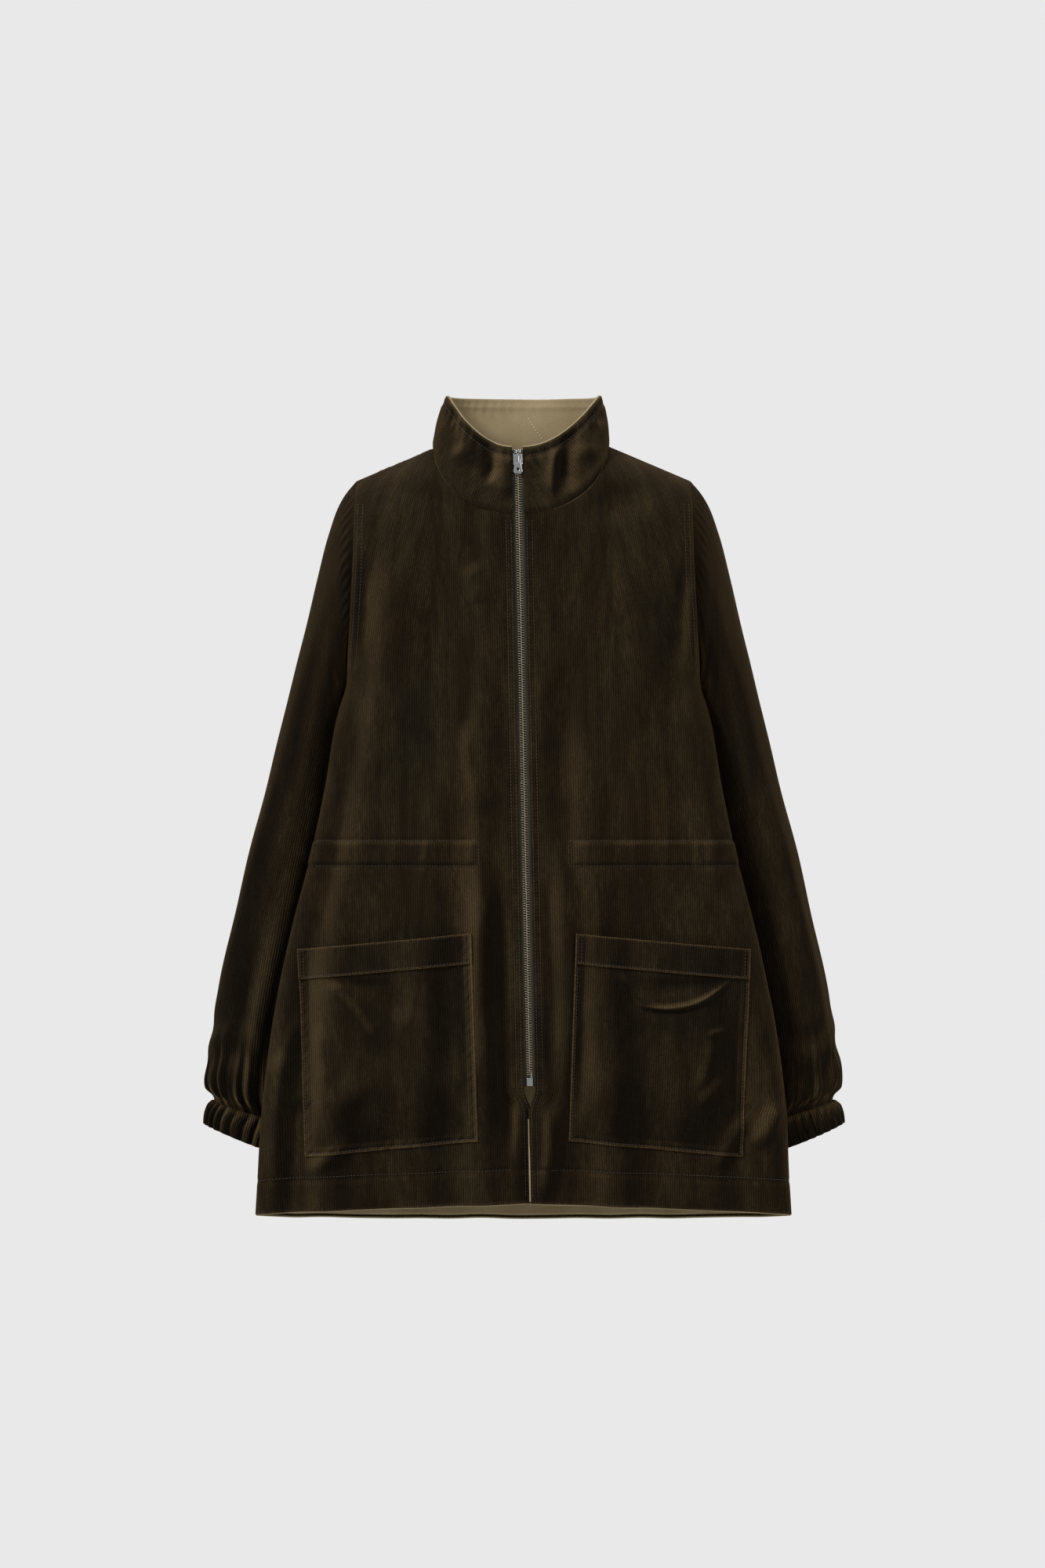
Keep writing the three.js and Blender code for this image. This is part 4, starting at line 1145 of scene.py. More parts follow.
SLEEVE_RINGS = (
    (173, -50, 181, -262, 42, 2), (191, -74, 183, -266, 43, 4), (202, -104, 185, -270, 44, 8),
    (213, -148, 187, -275, 46, 12), (225, -196, 186, -281, 47, 17), (237, -240, 186, -288, 48, 22),
    (247, -280, 186, -296, 48, 26), (266, -356, 195, -372, 48, 31), (285, -428, 210, -446, 46, 32),
    (301, -500, 228, -518, 44, 32), (316, -572, 244, -590, 42, 32), (327, -644, 254, -664, 38, 30),
    (330, -678, 256, -700, 32, 29), (326, -692, 252, -715, 24, 28),
)
CUFF_RINGS = ((327, -693.4, 252, -716.6, 24, 28), (334, -718, 262, -748, 24, 28))


@dataclass
class Tube:
    """A tube of cloth through rings: each is its outer x and z, inner x and z, half depth and middle y."""

    side: int
    rings: tuple
    sewn_to_body: bool

    def along(self) -> Array:
        """The length of cloth from the first ring to each ring."""
        rings = np.array(self.rings, float)
        middles = (rings[:, 0:2] + rings[:, 2:4]) / 2
        return np.concatenate([[0], np.cumsum(np.linalg.norm(np.diff(middles, axis=0), axis=1))])

    def middle(self, v: Array) -> Array:
        """The tube's middle line."""
        s = self.along()
        rings = np.array(self.rings, float)
        reach = np.clip(v, 0, 1) * s[-1]
        x = np.interp(reach, s, (rings[:, 0] + rings[:, 2]) / 2)
        z = np.interp(reach, s, (rings[:, 1] + rings[:, 3]) / 2)
        return points(self.side * x, np.interp(reach, s, rings[:, 5]), z)

    def ring(self, i: int, turn: Array) -> Array:
        """The places round one ring: turn 0 is the outer fold and a quarter the front."""
        outer_x, outer_z, inner_x, inner_z, half, y = self.rings[i]
        cos, sin = np.cos(turn * 2 * math.pi), np.sin(turn * 2 * math.pi)
        x = (outer_x + inner_x) / 2 + (outer_x - inner_x) / 2 * cos
        z = (outer_z + inner_z) / 2 + (outer_z - inner_z) / 2 * cos
        if i or not self.sewn_to_body:
            return points(self.side * x, y - half * sin, z)
        fore = BODY.point(True, self.side, np.ones_like(z), z)
        rear = BODY.point(False, self.side, np.ones_like(z), z)
        seam = np.where((sin > 0)[:, None], fore, rear)
        seam[:, 0] += self.side * 0.75
        return seam

    def place(self, u: Array, v: Array) -> Array:
        """A smooth place on the tube; the cloth's seam, u 0, is at its inner fold."""
        turn = (u + 0.5) % 1
        s = self.along()
        reach = np.clip(v, -0.1, 1.1) * s[-1]
        i = np.clip(np.searchsorted(s, reach, side="right") - 1, 0, len(s) - 2)
        rings = np.stack([self.ring(k, turn) for k in range(len(s))])
        slope = np.gradient(rings, s, axis=0)
        at = np.arange(len(turn))
        gap = (s[i + 1] - s[i])[:, None]
        t = ((reach - s[i]) / (s[i + 1] - s[i]))[:, None]
        start, end = 2 * t**3 - 3 * t**2 + 1, 3 * t**2 - 2 * t**3
        leave, arrive = t**3 - 2 * t**2 + t, t**3 - t**2
        return (
            rings[i, at] * start
            + slope[i, at] * gap * leave
            + rings[i + 1, at] * end
            + slope[i + 1, at] * gap * arrive
        )

    def away(self, p: Array) -> Array:
        """The point of the tube's middle line level with each place along it."""
        line = self.middle(np.linspace(0, 1, 60))
        gap = np.linalg.norm(p[:, None, ::2] - line[None, :, ::2], axis=2) if len(p) < 2000 else None
        if gap is not None:
            return line[np.argmin(gap, axis=1)]
        return np.concatenate([self.away(part) for part in np.array_split(p, len(p) // 1500 + 1)])


@dataclass
class Sleeve:
    """One sleeve with its lining and its gathered cuff."""

    side: Side
    finishes: Finishes
    seed: int

    def lift(self, u: Array, v: Array, length: float) -> Array:
        """The sleeve's long folds, the crumples inside its elbow and the gathers above its cuff."""
        turn, s = (u + 0.5) * 2 * math.pi, v * length
        away = step(s, 4, 70)
        bend = 0.8 * np.sin(s / 120 + self.seed)
        long = 1.7 * np.sin(3 * turn + bend) + 1.2 * np.sin(5 * turn - 0.7 * bend + self.seed)
        long = long + 0.6 * np.sin(8 * turn + s / 70 + self.seed)
        near = step(s, length - 95, length - 4)
        gathers = 1.7 * np.sin(15 * turn + 0.9 * np.sin(s / 25) + self.seed)
        gathers = gathers + 1.0 * np.sin(24 * turn - s / 60)
        crumple = np.sin(s / 5.2 + 1.6 * np.sin(turn + 0.4) + self.seed) * np.sin(s / 17)
        inner = np.maximum(0, np.cos(turn - math.pi)) ** 2
        elbow = 1.5 * crumple * inner * bell(s - length * 0.56, 90)
        wrist = 1.3 * np.sin(s / 7 + 2 * np.sin(turn * 2 + self.seed)) * bell(s - length + 60, 34)
        armpit = 1.8 * np.sin(s / 9 + 1.2 * turn) * inner * bell(s - 40, 34)
        soft = 0.7 * np.sin(s / 31 + 2 * turn) * np.sin(s / 53 - turn)
        pucker = 0.4 * (1 - inner) * np.sin(turn * 46) * bell(s - 9, 6) - 0.5 * bell(s, 3)
        flat = away * (0.5 + 0.8 * step(s, 120, 480)) * (1 - 0.65 * near)
        folds = flat * long + away * (elbow + soft + wrist) + armpit * step(s, 2, 14)
        folds = folds * (1 - inner * (1 - step(s, 190, 330)))
        end = step(s, length - 14, length - 1)
        return folds * (1 - end) + near * gathers * (1 - 0.8 * end) - 2.8 * end + pucker

    def cuff_lift(self, u: Array, v: Array) -> Array:
        """The cuff's puffs between the pinches of its elastic."""
        turn = (u + 0.5) * 2 * math.pi
        drift = 0.9 * np.sin(3 * turn + self.seed)
        puff = np.abs(np.sin(11.5 * turn + drift + 0.35 * np.sin(v * 5 + self.seed)))
        deep = 0.8 + 0.35 * np.sin(4 * turn + self.seed)
        puffed = 4.0 * deep * (puff**0.8 - 0.55) * (0.3 + 0.7 * step(v, 0, 0.3))
        return puffed + 2.0 * np.sin(np.clip(v, 0, 1) * math.pi) - 1.7 * bell(v * 28, 3)

    def layer(
        self, name: str, tube: Tube, lift: Lift, depth: float, thick: float, grid: tuple, finish: str
    ) -> Sheet:
        """One layer of a tube."""
        return Sheet(
            name=name,
            columns=grid[0],
            rows=grid[1],
            place=tube.place,
            lift=lift,
            depth=depth,
            thickness=thick,
            material=getattr(self.finishes, finish),
            away_from=tube.away,
            closed=True,
            centred=True,
        )

    def build(self) -> None:
        """Builds the sleeve and its cuff."""
        name, side = self.side.label, self.side.value
        tube = Tube(side, SLEEVE_RINGS, True)
        cuff = Tube(side, CUFF_RINGS, False)
        length = tube.along()[-1]
        for part, finish, depth, thick, grid in (
            ("shell", "cord", 0, 1.4, (204, 225)),
            ("lining", "twill", 1.75, 0.8, (96, 110)),
        ):
            sheet = self.layer(
                f"{part}_sleeve_{name}",
                tube,
                lambda u, v, p: self.lift(u, v, length),
                depth,
                thick,
                grid,
                finish,
            )
            first, last = (-0.0035, 1.008) if part == "shell" else (0.0, 0.985)

            def down(u: Array, v: Array, a: float = first, b: float = last) -> Array:
                """The share of the sleeve's length; under the arm it starts a little inside the seam."""
                return a * (1 - step(-np.cos(u * 2 * math.pi), 0.8, 0.98)) * (1 - v) + b * v

            sheet.place = lambda u, v, down=down: tube.place(u, down(u, v))
            sheet.lift = lambda u, v, p, down=down: self.lift(u, down(u, v), length)
            # Painted shade: the sleeves are painted darker all over.
            sheet.lie = lambda u, v, p: -0.19 + 0 * v
            obj = sheet.build()
            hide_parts(f"{part}_sleeve_upper_{name}", f"{part}_sleeve_lower_{name}")
            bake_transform(obj)
            sheet.declare(obj, "hung")
        for part, finish, depth, thick, nodes in (
            ("cuff", "cord", 0, 1.4, ["cuff"]),
            ("cuff_facing", "twill", 3.1, 0.8, ["cuff_facing"]),
            ("cuff_elastic", "elastic", 1.75, 1.0, ["cuff_elastic"]),
        ):
            grid = (300, 14) if part == "cuff" else (210, 8)
            sheet = self.layer(
                f"{part}_{name}", cuff, lambda u, v, p: self.cuff_lift(u, v), depth, thick, grid, finish
            )
            # Painted shade: the cuffs are painted a little darker all over.
            sheet.lie = lambda u, v, p: -0.1 + 0 * v
            if part != "cuff":
                sheet.place = lambda u, v: cuff.place(u, 0.16 + 0.83 * v)
                sheet.lift = lambda u, v, p: self.cuff_lift(u, 0.16 + 0.83 * v)
            obj = sheet.build()
            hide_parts(*(f"{node}_{name}" for node in nodes))
            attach(obj, f"sleeve_{name}")
            sheet.declare(obj, "gathered")


# ------------------------------------------------------------------ pockets

POCKET_CREASES = {
    Side.LEFT: (
        Crease((114, -588), (212, -562), 3.2, 3.6, bow=-15, lean=0.5),
        Crease((94, -546), (136, -594), 5, 2.6, bow=-5),
        Crease((108, -572), (206, -546), 12, -1.8, bow=-13),
        Crease((186, -621), (207, -616), 3.5, 1.6),
        Crease((192, -624), (176, -678), 6, 1.7, bow=4),
        Crease((178, -694), (207, -664), 7, 2.0),
        Crease((66, -566), (74, -700), 14, 1.6, bow=-4),
        Crease((110, -600), (140, -690), 18, -2.0, bow=6),
    ),
    Side.RIGHT: (
        Crease((-204, -562), (-146, -640), 13, 4.0, bow=6, lean=-0.3),
        Crease((-186, -556), (-120, -606), 12, -2.4, bow=5),
        Crease((-70, -560), (-66, -700), 14, 1.4, bow=3),
        Crease((-196, -700), (-150, -660), 14, 1.8),
        Crease((-210, -610), (-198, -680), 7, 2.0),
    ),
}


@dataclass
class Pocket:
    """A patch pocket on a front, sewn round three sides, with a band across its open top."""

    side: Side
    panel: Panel
    finishes: Finishes
    width: float = 178
    height: float = 213
    middle: tuple[float, float] = (139, -631)
    tilt: float = math.radians(5.5)
    full: float = 10.5
    edge: float = 9
    band: float = 31

    def place(self, across: Array, up: Array) -> Array:
        """A smooth place on the front under the pocket, across towards the side and up."""
        cos, sin = math.cos(self.tilt), math.sin(self.tilt)
        side = self.side.value
        x = side * (self.middle[0] + across * cos + up * sin * 0.35)
        z = self.middle[1] - across * sin + up * cos
        return BODY.point(True, side, BODY.share_at(True, side, x, z), z)

    def stand(self, across: Array, up: Array, p: Array) -> Array:
        """How far the pocket's cloth stands off the front, with its own creases."""
        side = step(self.width / 2 - self.edge - np.abs(across), 0, 40)
        low = step(up + self.height / 2 - self.edge, 0, 60)
        inner = step(self.width / 2 - np.abs(across), 3, 20) * step(up + self.height / 2, 3, 20)
        inner = inner * (1 - step(up, self.height / 2 - self.band - 14, self.height / 2 - self.band))
        crumple = sum(crease.lift(p[:, 0], p[:, 2]) for crease in POCKET_CREASES[self.side])
        edge = np.minimum(self.width / 2 - np.abs(across), up + self.height / 2)
        pucker = 0.16 * ripple((across + up) / 1.9, 6) * bell(edge - 3, 6) - 0.5 * bell(edge - 3, 1.8)
        soft = 0.8 * ripple(across / 19, 4) * ripple(up / 24, 9) * inner
        puffed = 0.35 + self.full * 0.8 * np.sqrt(side * low)
        return puffed + inner * crumple + soft + pucker + self.panel.lift(p)

    def sheet(self, name: str, low: float, high: float, proud: float, grid: tuple[int, int]) -> Sheet:
        """A sheet of the pocket between two heights, with its face proud of the front."""

        def across(u: Array) -> Array:
            return (u - 0.5) * self.width

        def up(v: Array) -> Array:
            return high + (low - high) * v

        def wear(u: Array, v: Array, p: Array) -> Array:
            edge = np.minimum(self.width / 2 - np.abs(across(u)), np.minimum(high - up(v), up(v) - low))
            sharp = sum(np.maximum(0, crease.lift(p[:, 0], p[:, 2])) for crease in POCKET_CREASES[self.side])
            return np.clip(0.75 * bell(edge, 1.2) + 0.16 * np.clip(sharp - 3.4, 0, 3), 0, 1)

        return Sheet(
            name=name,
            columns=grid[0],
            rows=grid[1],
            place=lambda u, v: self.place(across(u), up(v)),
            lift=lambda u, v, p: self.stand(across(u), up(v), p),
            depth=-proud,
            thickness=1.4,
            material=self.finishes.cord,
            away_from=down_the_middle(),
            wear=wear,
            # Painted shade: the pockets are painted darker, the left more than the right.
            lie=lambda u, v, p: (-0.13 if self.side is Side.LEFT else -0.06) + 0 * v,
        )

    def build(self, sewing: "Sewing") -> None:
        """Builds the bag and its band, and sews them."""
        name, half = self.side.label, self.height / 2
        bag = self.sheet(f"pocket_bag_{name}", -half, half - 0.6, 1.4, (150, 180))
        band = self.sheet(f"pocket_band_{name}", half - self.band, half, 3.4, (160, 30))
        for sheet in (bag, band):
            obj = sheet.build()
            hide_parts(sheet.name)
            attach(obj, "jacket")
            sheet.declare(obj, "hung")
        inset = 2.6 / self.width
        down = np.linspace(0.16, 1 - 2.6 / self.height, 400)
        over = np.linspace(inset, 1 - inset, 400)
        for u in (inset, 1 - inset):
            sewing.row(*bag.at(u, down, 0.1))
            for extra in (0, 3.2 / self.width):
                inward = u + extra * (1 if u < 0.5 else -1)
                sewing.row(*band.at(inward, np.linspace(0.04, 0.96, 60), 0.1))
        sewing.row(*bag.at(over, down[-1], 0.1))
        sewing.row(*band.at(over, 1 - 2.2 / self.band, 0.1))


# ------------------------------------------------------------------ stitches and rolled edges


@dataclass
class Sewing:
    """Rows of stitches, each a short rounded length of thread, gathered into one mesh."""

    name: str
    material: bpy.types.Material
    pitch: float = 3.5
    length: float = 2.6
    radius: float = 0.34
    places: list[Matrix] = field(default_factory=list)

    def row(self, path: Array, normal: Array) -> None:
        """Sews along a path, whose normals say which way the cloth faces."""
        run = np.concatenate([[0], np.cumsum(np.linalg.norm(np.diff(path, axis=0), axis=1))])
        at = np.arange(self.pitch / 2, run[-1] - self.pitch / 2, self.pitch)
        ends = [np.stack([np.interp(at + d, run, path[:, k]) for k in range(3)], 1) for d in (-1.2, 1.2)]
        up = np.stack([np.interp(at, run, normal[:, k]) for k in range(3)], 1)
        along = unit(ends[1] - ends[0])
        side = unit(np.cross(along, up))
        up = np.cross(side, along)
        for a, s, n, m in zip(along, side, up, (ends[0] + ends[1]) / 2):
            turn = Matrix((a, s, n)).transposed().to_4x4()
            self.places.append(Matrix.Translation(Vector(m) * MM) @ turn)

    def build(self, body: str = "jacket") -> None:
        """Makes every stitch."""
        bm = bmesh.new()
        bmesh.ops.create_uvsphere(bm, u_segments=6, v_segments=3, radius=1)
        bmesh.ops.rotate(bm, cent=(0, 0, 0), matrix=Matrix.Rotation(math.pi / 2, 3, "Y"), verts=bm.verts)
        bmesh.ops.scale(bm, vec=Vector((self.length / 2, self.radius, self.radius)) * MM, verts=bm.verts)
        obj = copies(self.name, bm, self.places, self.material)
        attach(obj, body)


def copies(
    name: str, bm: bmesh.types.BMesh, places: list[Matrix], material: bpy.types.Material
) -> bpy.types.Object:
    """Makes one mesh of a small shape set at many places, and frees the shape."""
    shape = bpy.data.meshes.new(name)
    bm.to_mesh(shape)
    bm.free()
    many = bmesh.new()
    for place in places:
        one = shape.copy()
        one.transform(place)
        many.from_mesh(one)
        bpy.data.meshes.remove(one)
    mesh = bpy.data.meshes.new(name)
    many.to_mesh(mesh)
    many.free()
    bpy.data.meshes.remove(shape)
    return place_piece(name, mesh, material)


def rolled_edge(
    name: str, path: Array, radius: float, material: bpy.types.Material, body: str
) -> bpy.types.Object:
    """Builds a thin roll of cloth along a path.

    Args:
        name: the object's name.
        path: the roll's middle line.
        radius: half the roll's thickness.
        material: its cloth.
        body: the body it rides on.

    Returns:
        The roll.
    """
    along = unit(np.gradient(path, axis=0))
    side = unit(np.cross(along, np.where(np.abs(along[:, 2:]) > 0.8, (0.0, 1.0, 0.0), (0.0, 0.0, 1.0))))
    up = np.cross(side, along)
    mesh = cloth_grid(8, len(path) - 1)
    grid = read(mesh)
    i = np.round(grid[:, 1] * (len(path) - 1)).astype(int)
    turn = grid[:, 0:1] * 2 * math.pi
    where = path[i] + radius * (side[i] * np.cos(turn) + up[i] * np.sin(turn))
    write(mesh, where * MM)
    run = np.concatenate([[0], np.cumsum(np.linalg.norm(np.diff(path, axis=0), axis=1))])
    give_uv(mesh, grid[:, 0] * radius * 6 * MM, run[i] * MM)
    bm = bmesh.new()
    bm.from_mesh(mesh)
    bmesh.ops.remove_doubles(bm, verts=bm.verts, dist=1e-6)
    bmesh.ops.holes_fill(bm, edges=[edge for edge in bm.edges if edge.is_boundary])
    bmesh.ops.recalc_face_normals(bm, faces=bm.faces)
    bm.to_mesh(mesh)
    bm.free()
    obj = place_piece(name, mesh, material)
    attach(obj, body)
    return obj


@dataclass
class Trims:
    """The sewing on the body, and the khaki edges that show along its openings."""

    finishes: Finishes
    fronts: Fronts
    back: Back
    face: Sheet
    lining: Sheet

    def sew(self, sewing: Sewing) -> None:
        """Sews both fronts and the collar."""
        high, low = BODY.tunnel
        for side, panel in self.fronts.panels.items():
            s = side.value
            z = np.linspace(-94, -786, 900)
            for inset in (2.4, 7.8):
                sewing.row(*panel.lay(BODY.front_middle(s, z) + s * inset, z, 0.1))
            for level in (high + 2, low - 2):
                x = s * np.linspace(46, 214, 300)
                sewing.row(*panel.lay(x, 0 * x + level, 0.1))
            z = np.linspace(high + 2, low - 2, 40)
            sewing.row(*panel.lay(0 * z + s * 46, z, 0.1))
            z = np.linspace(-76, -250, 240)
            for inset in (4, 9):
                sewing.row(*panel.lay(s * (through(BODY.side_x, z) - inset), z, 0.1))
            share = np.linspace(0.05, 0.97, 500)
            z = BODY.hem(True, share) + 35
            x = BODY.front_middle(s, z) + (s * through(BODY.side_x, z) - BODY.front_middle(s, z)) * np.sin(
                share * math.pi / 2
            )
            sewing.row(*panel.lay(x, z, 0.1))
        share = np.linspace(-0.97, 0.97, 900)
        z = BODY.hem(False, np.abs(share)) + 35
        sewing.row(*self.back.panel.lay(through(BODY.side_x, z) * np.sin(share * math.pi / 2), z, 0.1))
        for level in (high + 2, low - 2):
            z = level + 0 * share
            sewing.row(*self.back.panel.lay(through(BODY.side_x, z) * np.sin(share * math.pi / 2), z, 0.1))
        sewing.row(*self.face.at(np.linspace(0.005, 0.995, 900), 0.13, 0.1))

    def sew_lining(self, sewing: Sewing) -> None:
        """Sews the pale diagonal row inside the back of the collar."""
        t = np.linspace(0, 1, 60)
        where, normal = self.lining.at(0.5 + 0.028 * (0.3 + t), 0.35 + 0.42 * t, -1.0)
        sewing.row(where, -normal)

    def edges(self) -> None:
        """Rolls the khaki edge along the collar's rim, the hem and the slit below the zip."""
        twill = self.finishes.twill
        rim, _ = self.face.at(np.linspace(0, 1, 500), 0.0, -2.1)
        rolled_edge("collar_edge_roll", rim + (0, 0, 0.2), 1.15, twill, "jacket")
        for side, panel in self.fronts.panels.items():
            s = side.value
            share = np.linspace(0, 0.998, 420)
            z = BODY.hem(True, share)
            x = BODY.front_middle(s, z) + (s * through(BODY.side_x, z) - BODY.front_middle(s, z)) * np.sin(
                share * math.pi / 2
            )
            hem, _ = panel.lay(x, z, -1.9)
            rolled_edge(f"hem_edge_roll_{side.label}", hem - (0, 0, 0.2), 1.0, twill, "jacket")
        z = np.linspace(-706, -790, 120)
        tucked = -0.9 - 1.6 * (1 - step(-z, 706, 740))
        slit, _ = self.fronts.panels[Side.LEFT].lay(BODY.front_middle(1, z), z, tucked)
        rolled_edge("slit_edge_roll_left", slit, 1.1, twill, "jacket")
        share = np.linspace(-0.998, 0.998, 700)
        z = BODY.hem(False, np.abs(share))
        hem, _ = self.back.panel.lay(through(BODY.side_x, z) * np.sin(share * math.pi / 2), z, -1.9)
        rolled_edge("hem_edge_roll_back", hem - (0, 0, 0.2), 1.0, twill, "jacket")


# ------------------------------------------------------------------ zip


@dataclass
class Zip:
    """The zip: woven tapes, separate interlocking teeth and the plated parts."""

    finishes: Finishes
    frame: dict
    pitch: float = 2.5
    chain_y: float = -59.95

    @property
    def length(self) -> float:
        """The chain's length."""
        (x0, z0), (x1, z1) = BODY.zip_top, BODY.zip_bottom
        return math.hypot(x1 - x0, z1 - z0)

    @property
    def matrix(self) -> Matrix:
        """From the chain's own frame, with its top at the origin, to the jacket's, in millimetres."""
        (x0, z0), (x1, z1) = BODY.zip_top, BODY.zip_bottom
        lean = -math.atan2(x1 - x0, z0 - z1)
        return Matrix.Translation((x0, self.chain_y, z0)) @ Matrix.Rotation(lean, 4, "Y")

    def tape(self, side: Side) -> None:
        """Builds one tape."""
        turn = np.array(self.matrix)

        def place(u: Array, v: Array) -> Array:
            local = points(side.value * (2.9 + 10.3 * u), -0.3 - 0.25 * (u < 0.1), 3 - (self.length + 4) * v)
            return local @ turn[:3, :3].T + turn[:3, 3]

        sheet = Sheet(
            name=f"zip_tape_{side.label}",
            columns=10,
            rows=320,
            place=place,
            lift=lambda u, v, p: 0 * u,
            depth=0,
            thickness=0.6,
            material=self.finishes.tape,
            away_from=down_the_middle(),
        )
        obj = sheet.build()
        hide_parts(sheet.name)
        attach(obj, "jacket")
        sheet.declare(obj, "stretched")

    def teeth(self, side: Side) -> None:
        """Builds one side's teeth, each crimped on its tape and reaching past the middle."""
        bm = bmesh.new()
        bmesh.ops.create_cube(bm, size=1)
        bmesh.ops.scale(bm, vec=(3.7, 2.3, 1.12), verts=bm.verts)
        bmesh.ops.translate(bm, vec=(1.25, 0, 0), verts=bm.verts)
        for vert in bm.verts:
            if vert.co.x < 0:
                vert.co.y *= 0.8
            else:
                vert.co.z *= 1.05
        bmesh.ops.bevel(
            bm, geom=bm.edges[:], offset=0.28, segments=1, affect="EDGES", profile=0.5, material=-1
        )
        bmesh.ops.scale(bm, vec=(side.value, 1, 1), verts=bm.verts)
        bmesh.ops.recalc_face_normals(bm, faces=bm.faces)
        bmesh.ops.scale(bm, vec=(MM, MM, MM), verts=bm.verts)
        place = self.matrix.copy()
        place.translation *= MM
        first = 1.0 if side is Side.LEFT else 1.0 + self.pitch / 2
        last = self.length - (15.0 if side is Side.LEFT else 9.0)
        heights = np.arange(first, last, self.pitch)
        tilt = Matrix.Rotation(side.value * math.radians(4), 4, "Y")
        where = [place @ Matrix.Translation((0, 0, -z * MM)) @ tilt for z in heights]
        obj = copies(f"zip_teeth_row_{side.label}", bm, where, self.finishes.teeth)
        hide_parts(f"zip_teeth_{side.label}")
        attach(obj, "jacket")

    def plated(self, node: str, body: str, bevel: float) -> None:
        """Softens the edges of a plated part and polishes it."""
        bm = bmesh.new()
        bm.from_mesh(self.frame["nodes"][node].data)
        bmesh.ops.remove_doubles(bm, verts=bm.verts, dist=1e-6)
        bmesh.ops.dissolve_limit(bm, angle_limit=math.radians(1), verts=bm.verts, edges=bm.edges)
        sharp = [edge for edge in bm.edges if edge.is_manifold and edge.calc_face_angle(0) > 0.5]
        bmesh.ops.bevel(
            bm,
            geom=sharp,
            offset=bevel * MM,
            segments=2,
            affect="EDGES",
            profile=0.5,
            material=-1,
            clamp_overlap=True,
        )
        bmesh.ops.triangulate(bm, faces=[face for face in bm.faces if len(face.verts) > 4])
        mesh = bpy.data.meshes.new(node)
        bm.to_mesh(mesh)
        bm.free()
        obj = place_piece(f"{node}_plated", mesh, self.finishes.nickel)
        obj.data.shade_flat()
        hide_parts(node)
        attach(obj, body)

    def build(self) -> None:
        """Builds the whole zip."""
        for side in Side:
            self.tape(side)
            self.teeth(side)
            self.plated(f"zip_top_stop_{side.label}", "jacket", 0.25)
        self.plated("zip_insertion_pin", "jacket", 0.2)
        self.plated("zip_retainer_box", "jacket", 0.3)
        self.plated("zip_slider_body", "slider", 0.2)
        self.plated("zip_pull_tab", "pull", 0.2)


# ------------------------------------------------------------------ studio


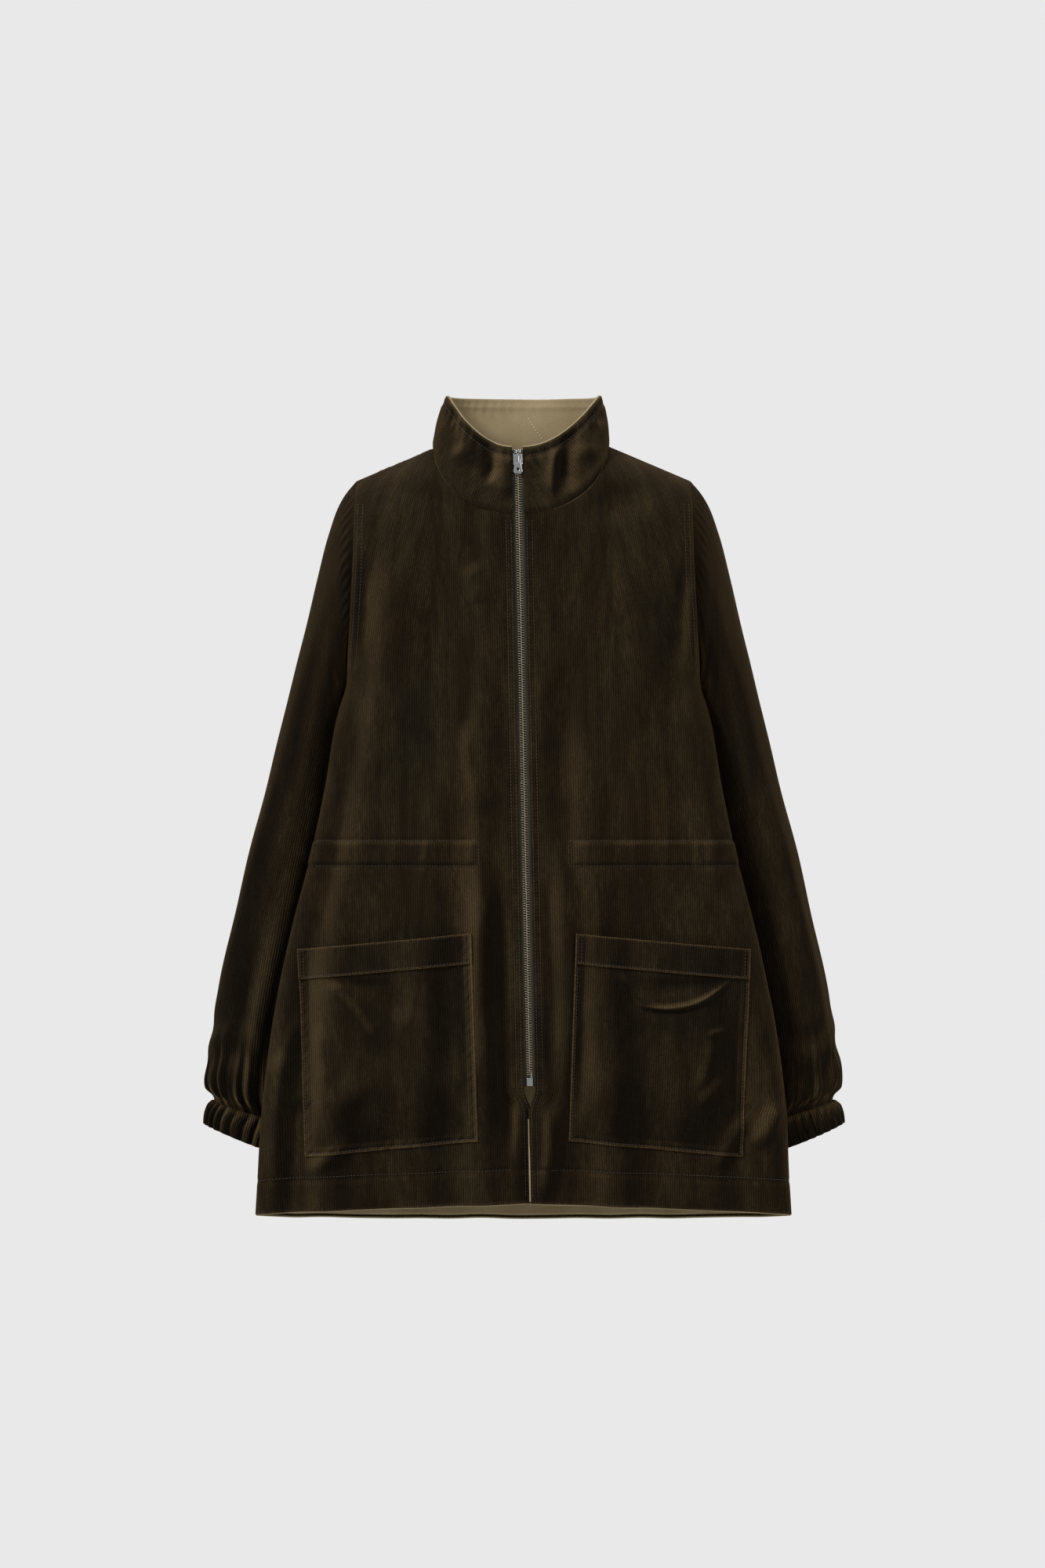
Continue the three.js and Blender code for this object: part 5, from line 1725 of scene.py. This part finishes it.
@dataclass
class Studio:
    """The camera, the pale world, the floor and the soft lights."""

    def camera(self) -> None:
        """Sets the camera level in front of the jacket."""
        data = bpy.data.cameras.new("camera")
        data.lens, data.sensor_width = 85, 36
        data.clip_start, data.clip_end = 0.1, 50
        camera = bpy.data.objects.new("camera", data)
        camera.location = (-0.001, -3.84, -0.364)
        camera.rotation_euler = (math.pi / 2, 0, 0)
        bpy.context.scene.collection.objects.link(camera)
        bpy.context.scene.camera = camera

    def world(self) -> None:
        """Fills the surroundings with one pale grey."""
        world = bpy.data.worlds.new("studio")
        bpy.context.scene.world = world
        world.use_nodes = True
        world.node_tree.nodes.clear()
        tree = world.node_tree
        seen = add_node(tree, "Background", {"Color": linear("#e9e9e9"), "Strength": 1.0})
        given = add_node(tree, "Background", {"Color": linear("#f2efe8"), "Strength": 0.36})
        path = add_node(tree, "LightPath")
        links = {0: path.outputs["Is Camera Ray"], 1: given.outputs[0], 2: seen.outputs[0]}
        both = add_node(tree, "MixShader", links=links)
        add_node(tree, "OutputWorld", links={"Surface": both.outputs[0]})
        bpy.context.scene.view_settings.view_transform = "Standard"

    def floor(self) -> None:
        """Lays the floor, low enough that the jacket hangs clear of it."""
        bm = bmesh.new()
        bmesh.ops.create_grid(bm, x_segments=1, y_segments=1, size=1)
        bmesh.ops.scale(bm, vec=(3, 2.8, 1), verts=bm.verts)
        bmesh.ops.translate(bm, vec=(0, -0.2, -1.75), verts=bm.verts)
        mesh = bpy.data.meshes.new("floor")
        bm.to_mesh(mesh)
        bm.free()
        material, tree = new_material("pale_floor")
        shader = add_node(tree, "BsdfPrincipled", {"Base Color": linear("#dcdcdb"), "Roughness": 0.85})
        add_node(tree, "OutputMaterial", links={"Surface": shader.outputs[0]})
        place_piece("floor", mesh, material)

    def light(self, name: str, place: tuple, power: float, size: float) -> None:
        """Adds a soft square light that faces the jacket's chest."""
        data = bpy.data.lights.new(name, "AREA")
        data.energy, data.size = power, size
        light = bpy.data.objects.new(name, data)
        light.location = place
        aim = Vector((0, 0, -0.35)) - Vector(place)
        light.rotation_euler = aim.to_track_quat("-Z", "Y").to_euler()
        light.visible_camera = False
        bpy.context.scene.collection.objects.link(light)

    def lights(self) -> None:
        """Adds the key, the fill and the light behind."""
        self.light("key", (-2.4, -2.1, 1.9), 105, 0.9)
        self.light("fill", (2.4, -2.2, 0.9), 34, 1.4)
        self.light("above", (0.2, 0.5, 2.3), 30, 1.4)


def main() -> None:
    """Builds the jacket round its frame."""
    logging.basicConfig(level=logging.INFO, format="%(message)s")
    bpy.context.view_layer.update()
    studio = Studio()
    studio.camera()
    studio.world()
    studio.floor()
    studio.lights()
    finishes = Finishes()
    sewing = Sewing("body_stitches", finishes.thread)
    lining_sewing = Sewing("collar_lining_stitches", finishes.pale_thread, radius=0.42)
    fronts = Fronts(finishes)
    fronts.build()
    LOG.info("fronts built")
    back = Back(finishes)
    back.build()
    LOG.info("back built")
    face, lining = Collar(finishes).build()
    LOG.info("collar built")
    for side, seed in ((Side.LEFT, 2), (Side.RIGHT, 5)):
        Sleeve(side, finishes, seed).build()
        LOG.info("%s sleeve built", side.label)
        Pocket(side, fronts.panels[side], finishes).build(sewing)
        LOG.info("%s pocket built", side.label)
    trims = Trims(finishes, fronts, back, face, lining)
    trims.sew(sewing)
    trims.sew_lining(lining_sewing)
    trims.edges()
    sewing.build()
    lining_sewing.build()
    LOG.info("trims sewn: %d stitches", len(sewing.places))
    Zip(finishes, frame).build()
    LOG.info("zip built")


if __name__ == "__main__":
    main()
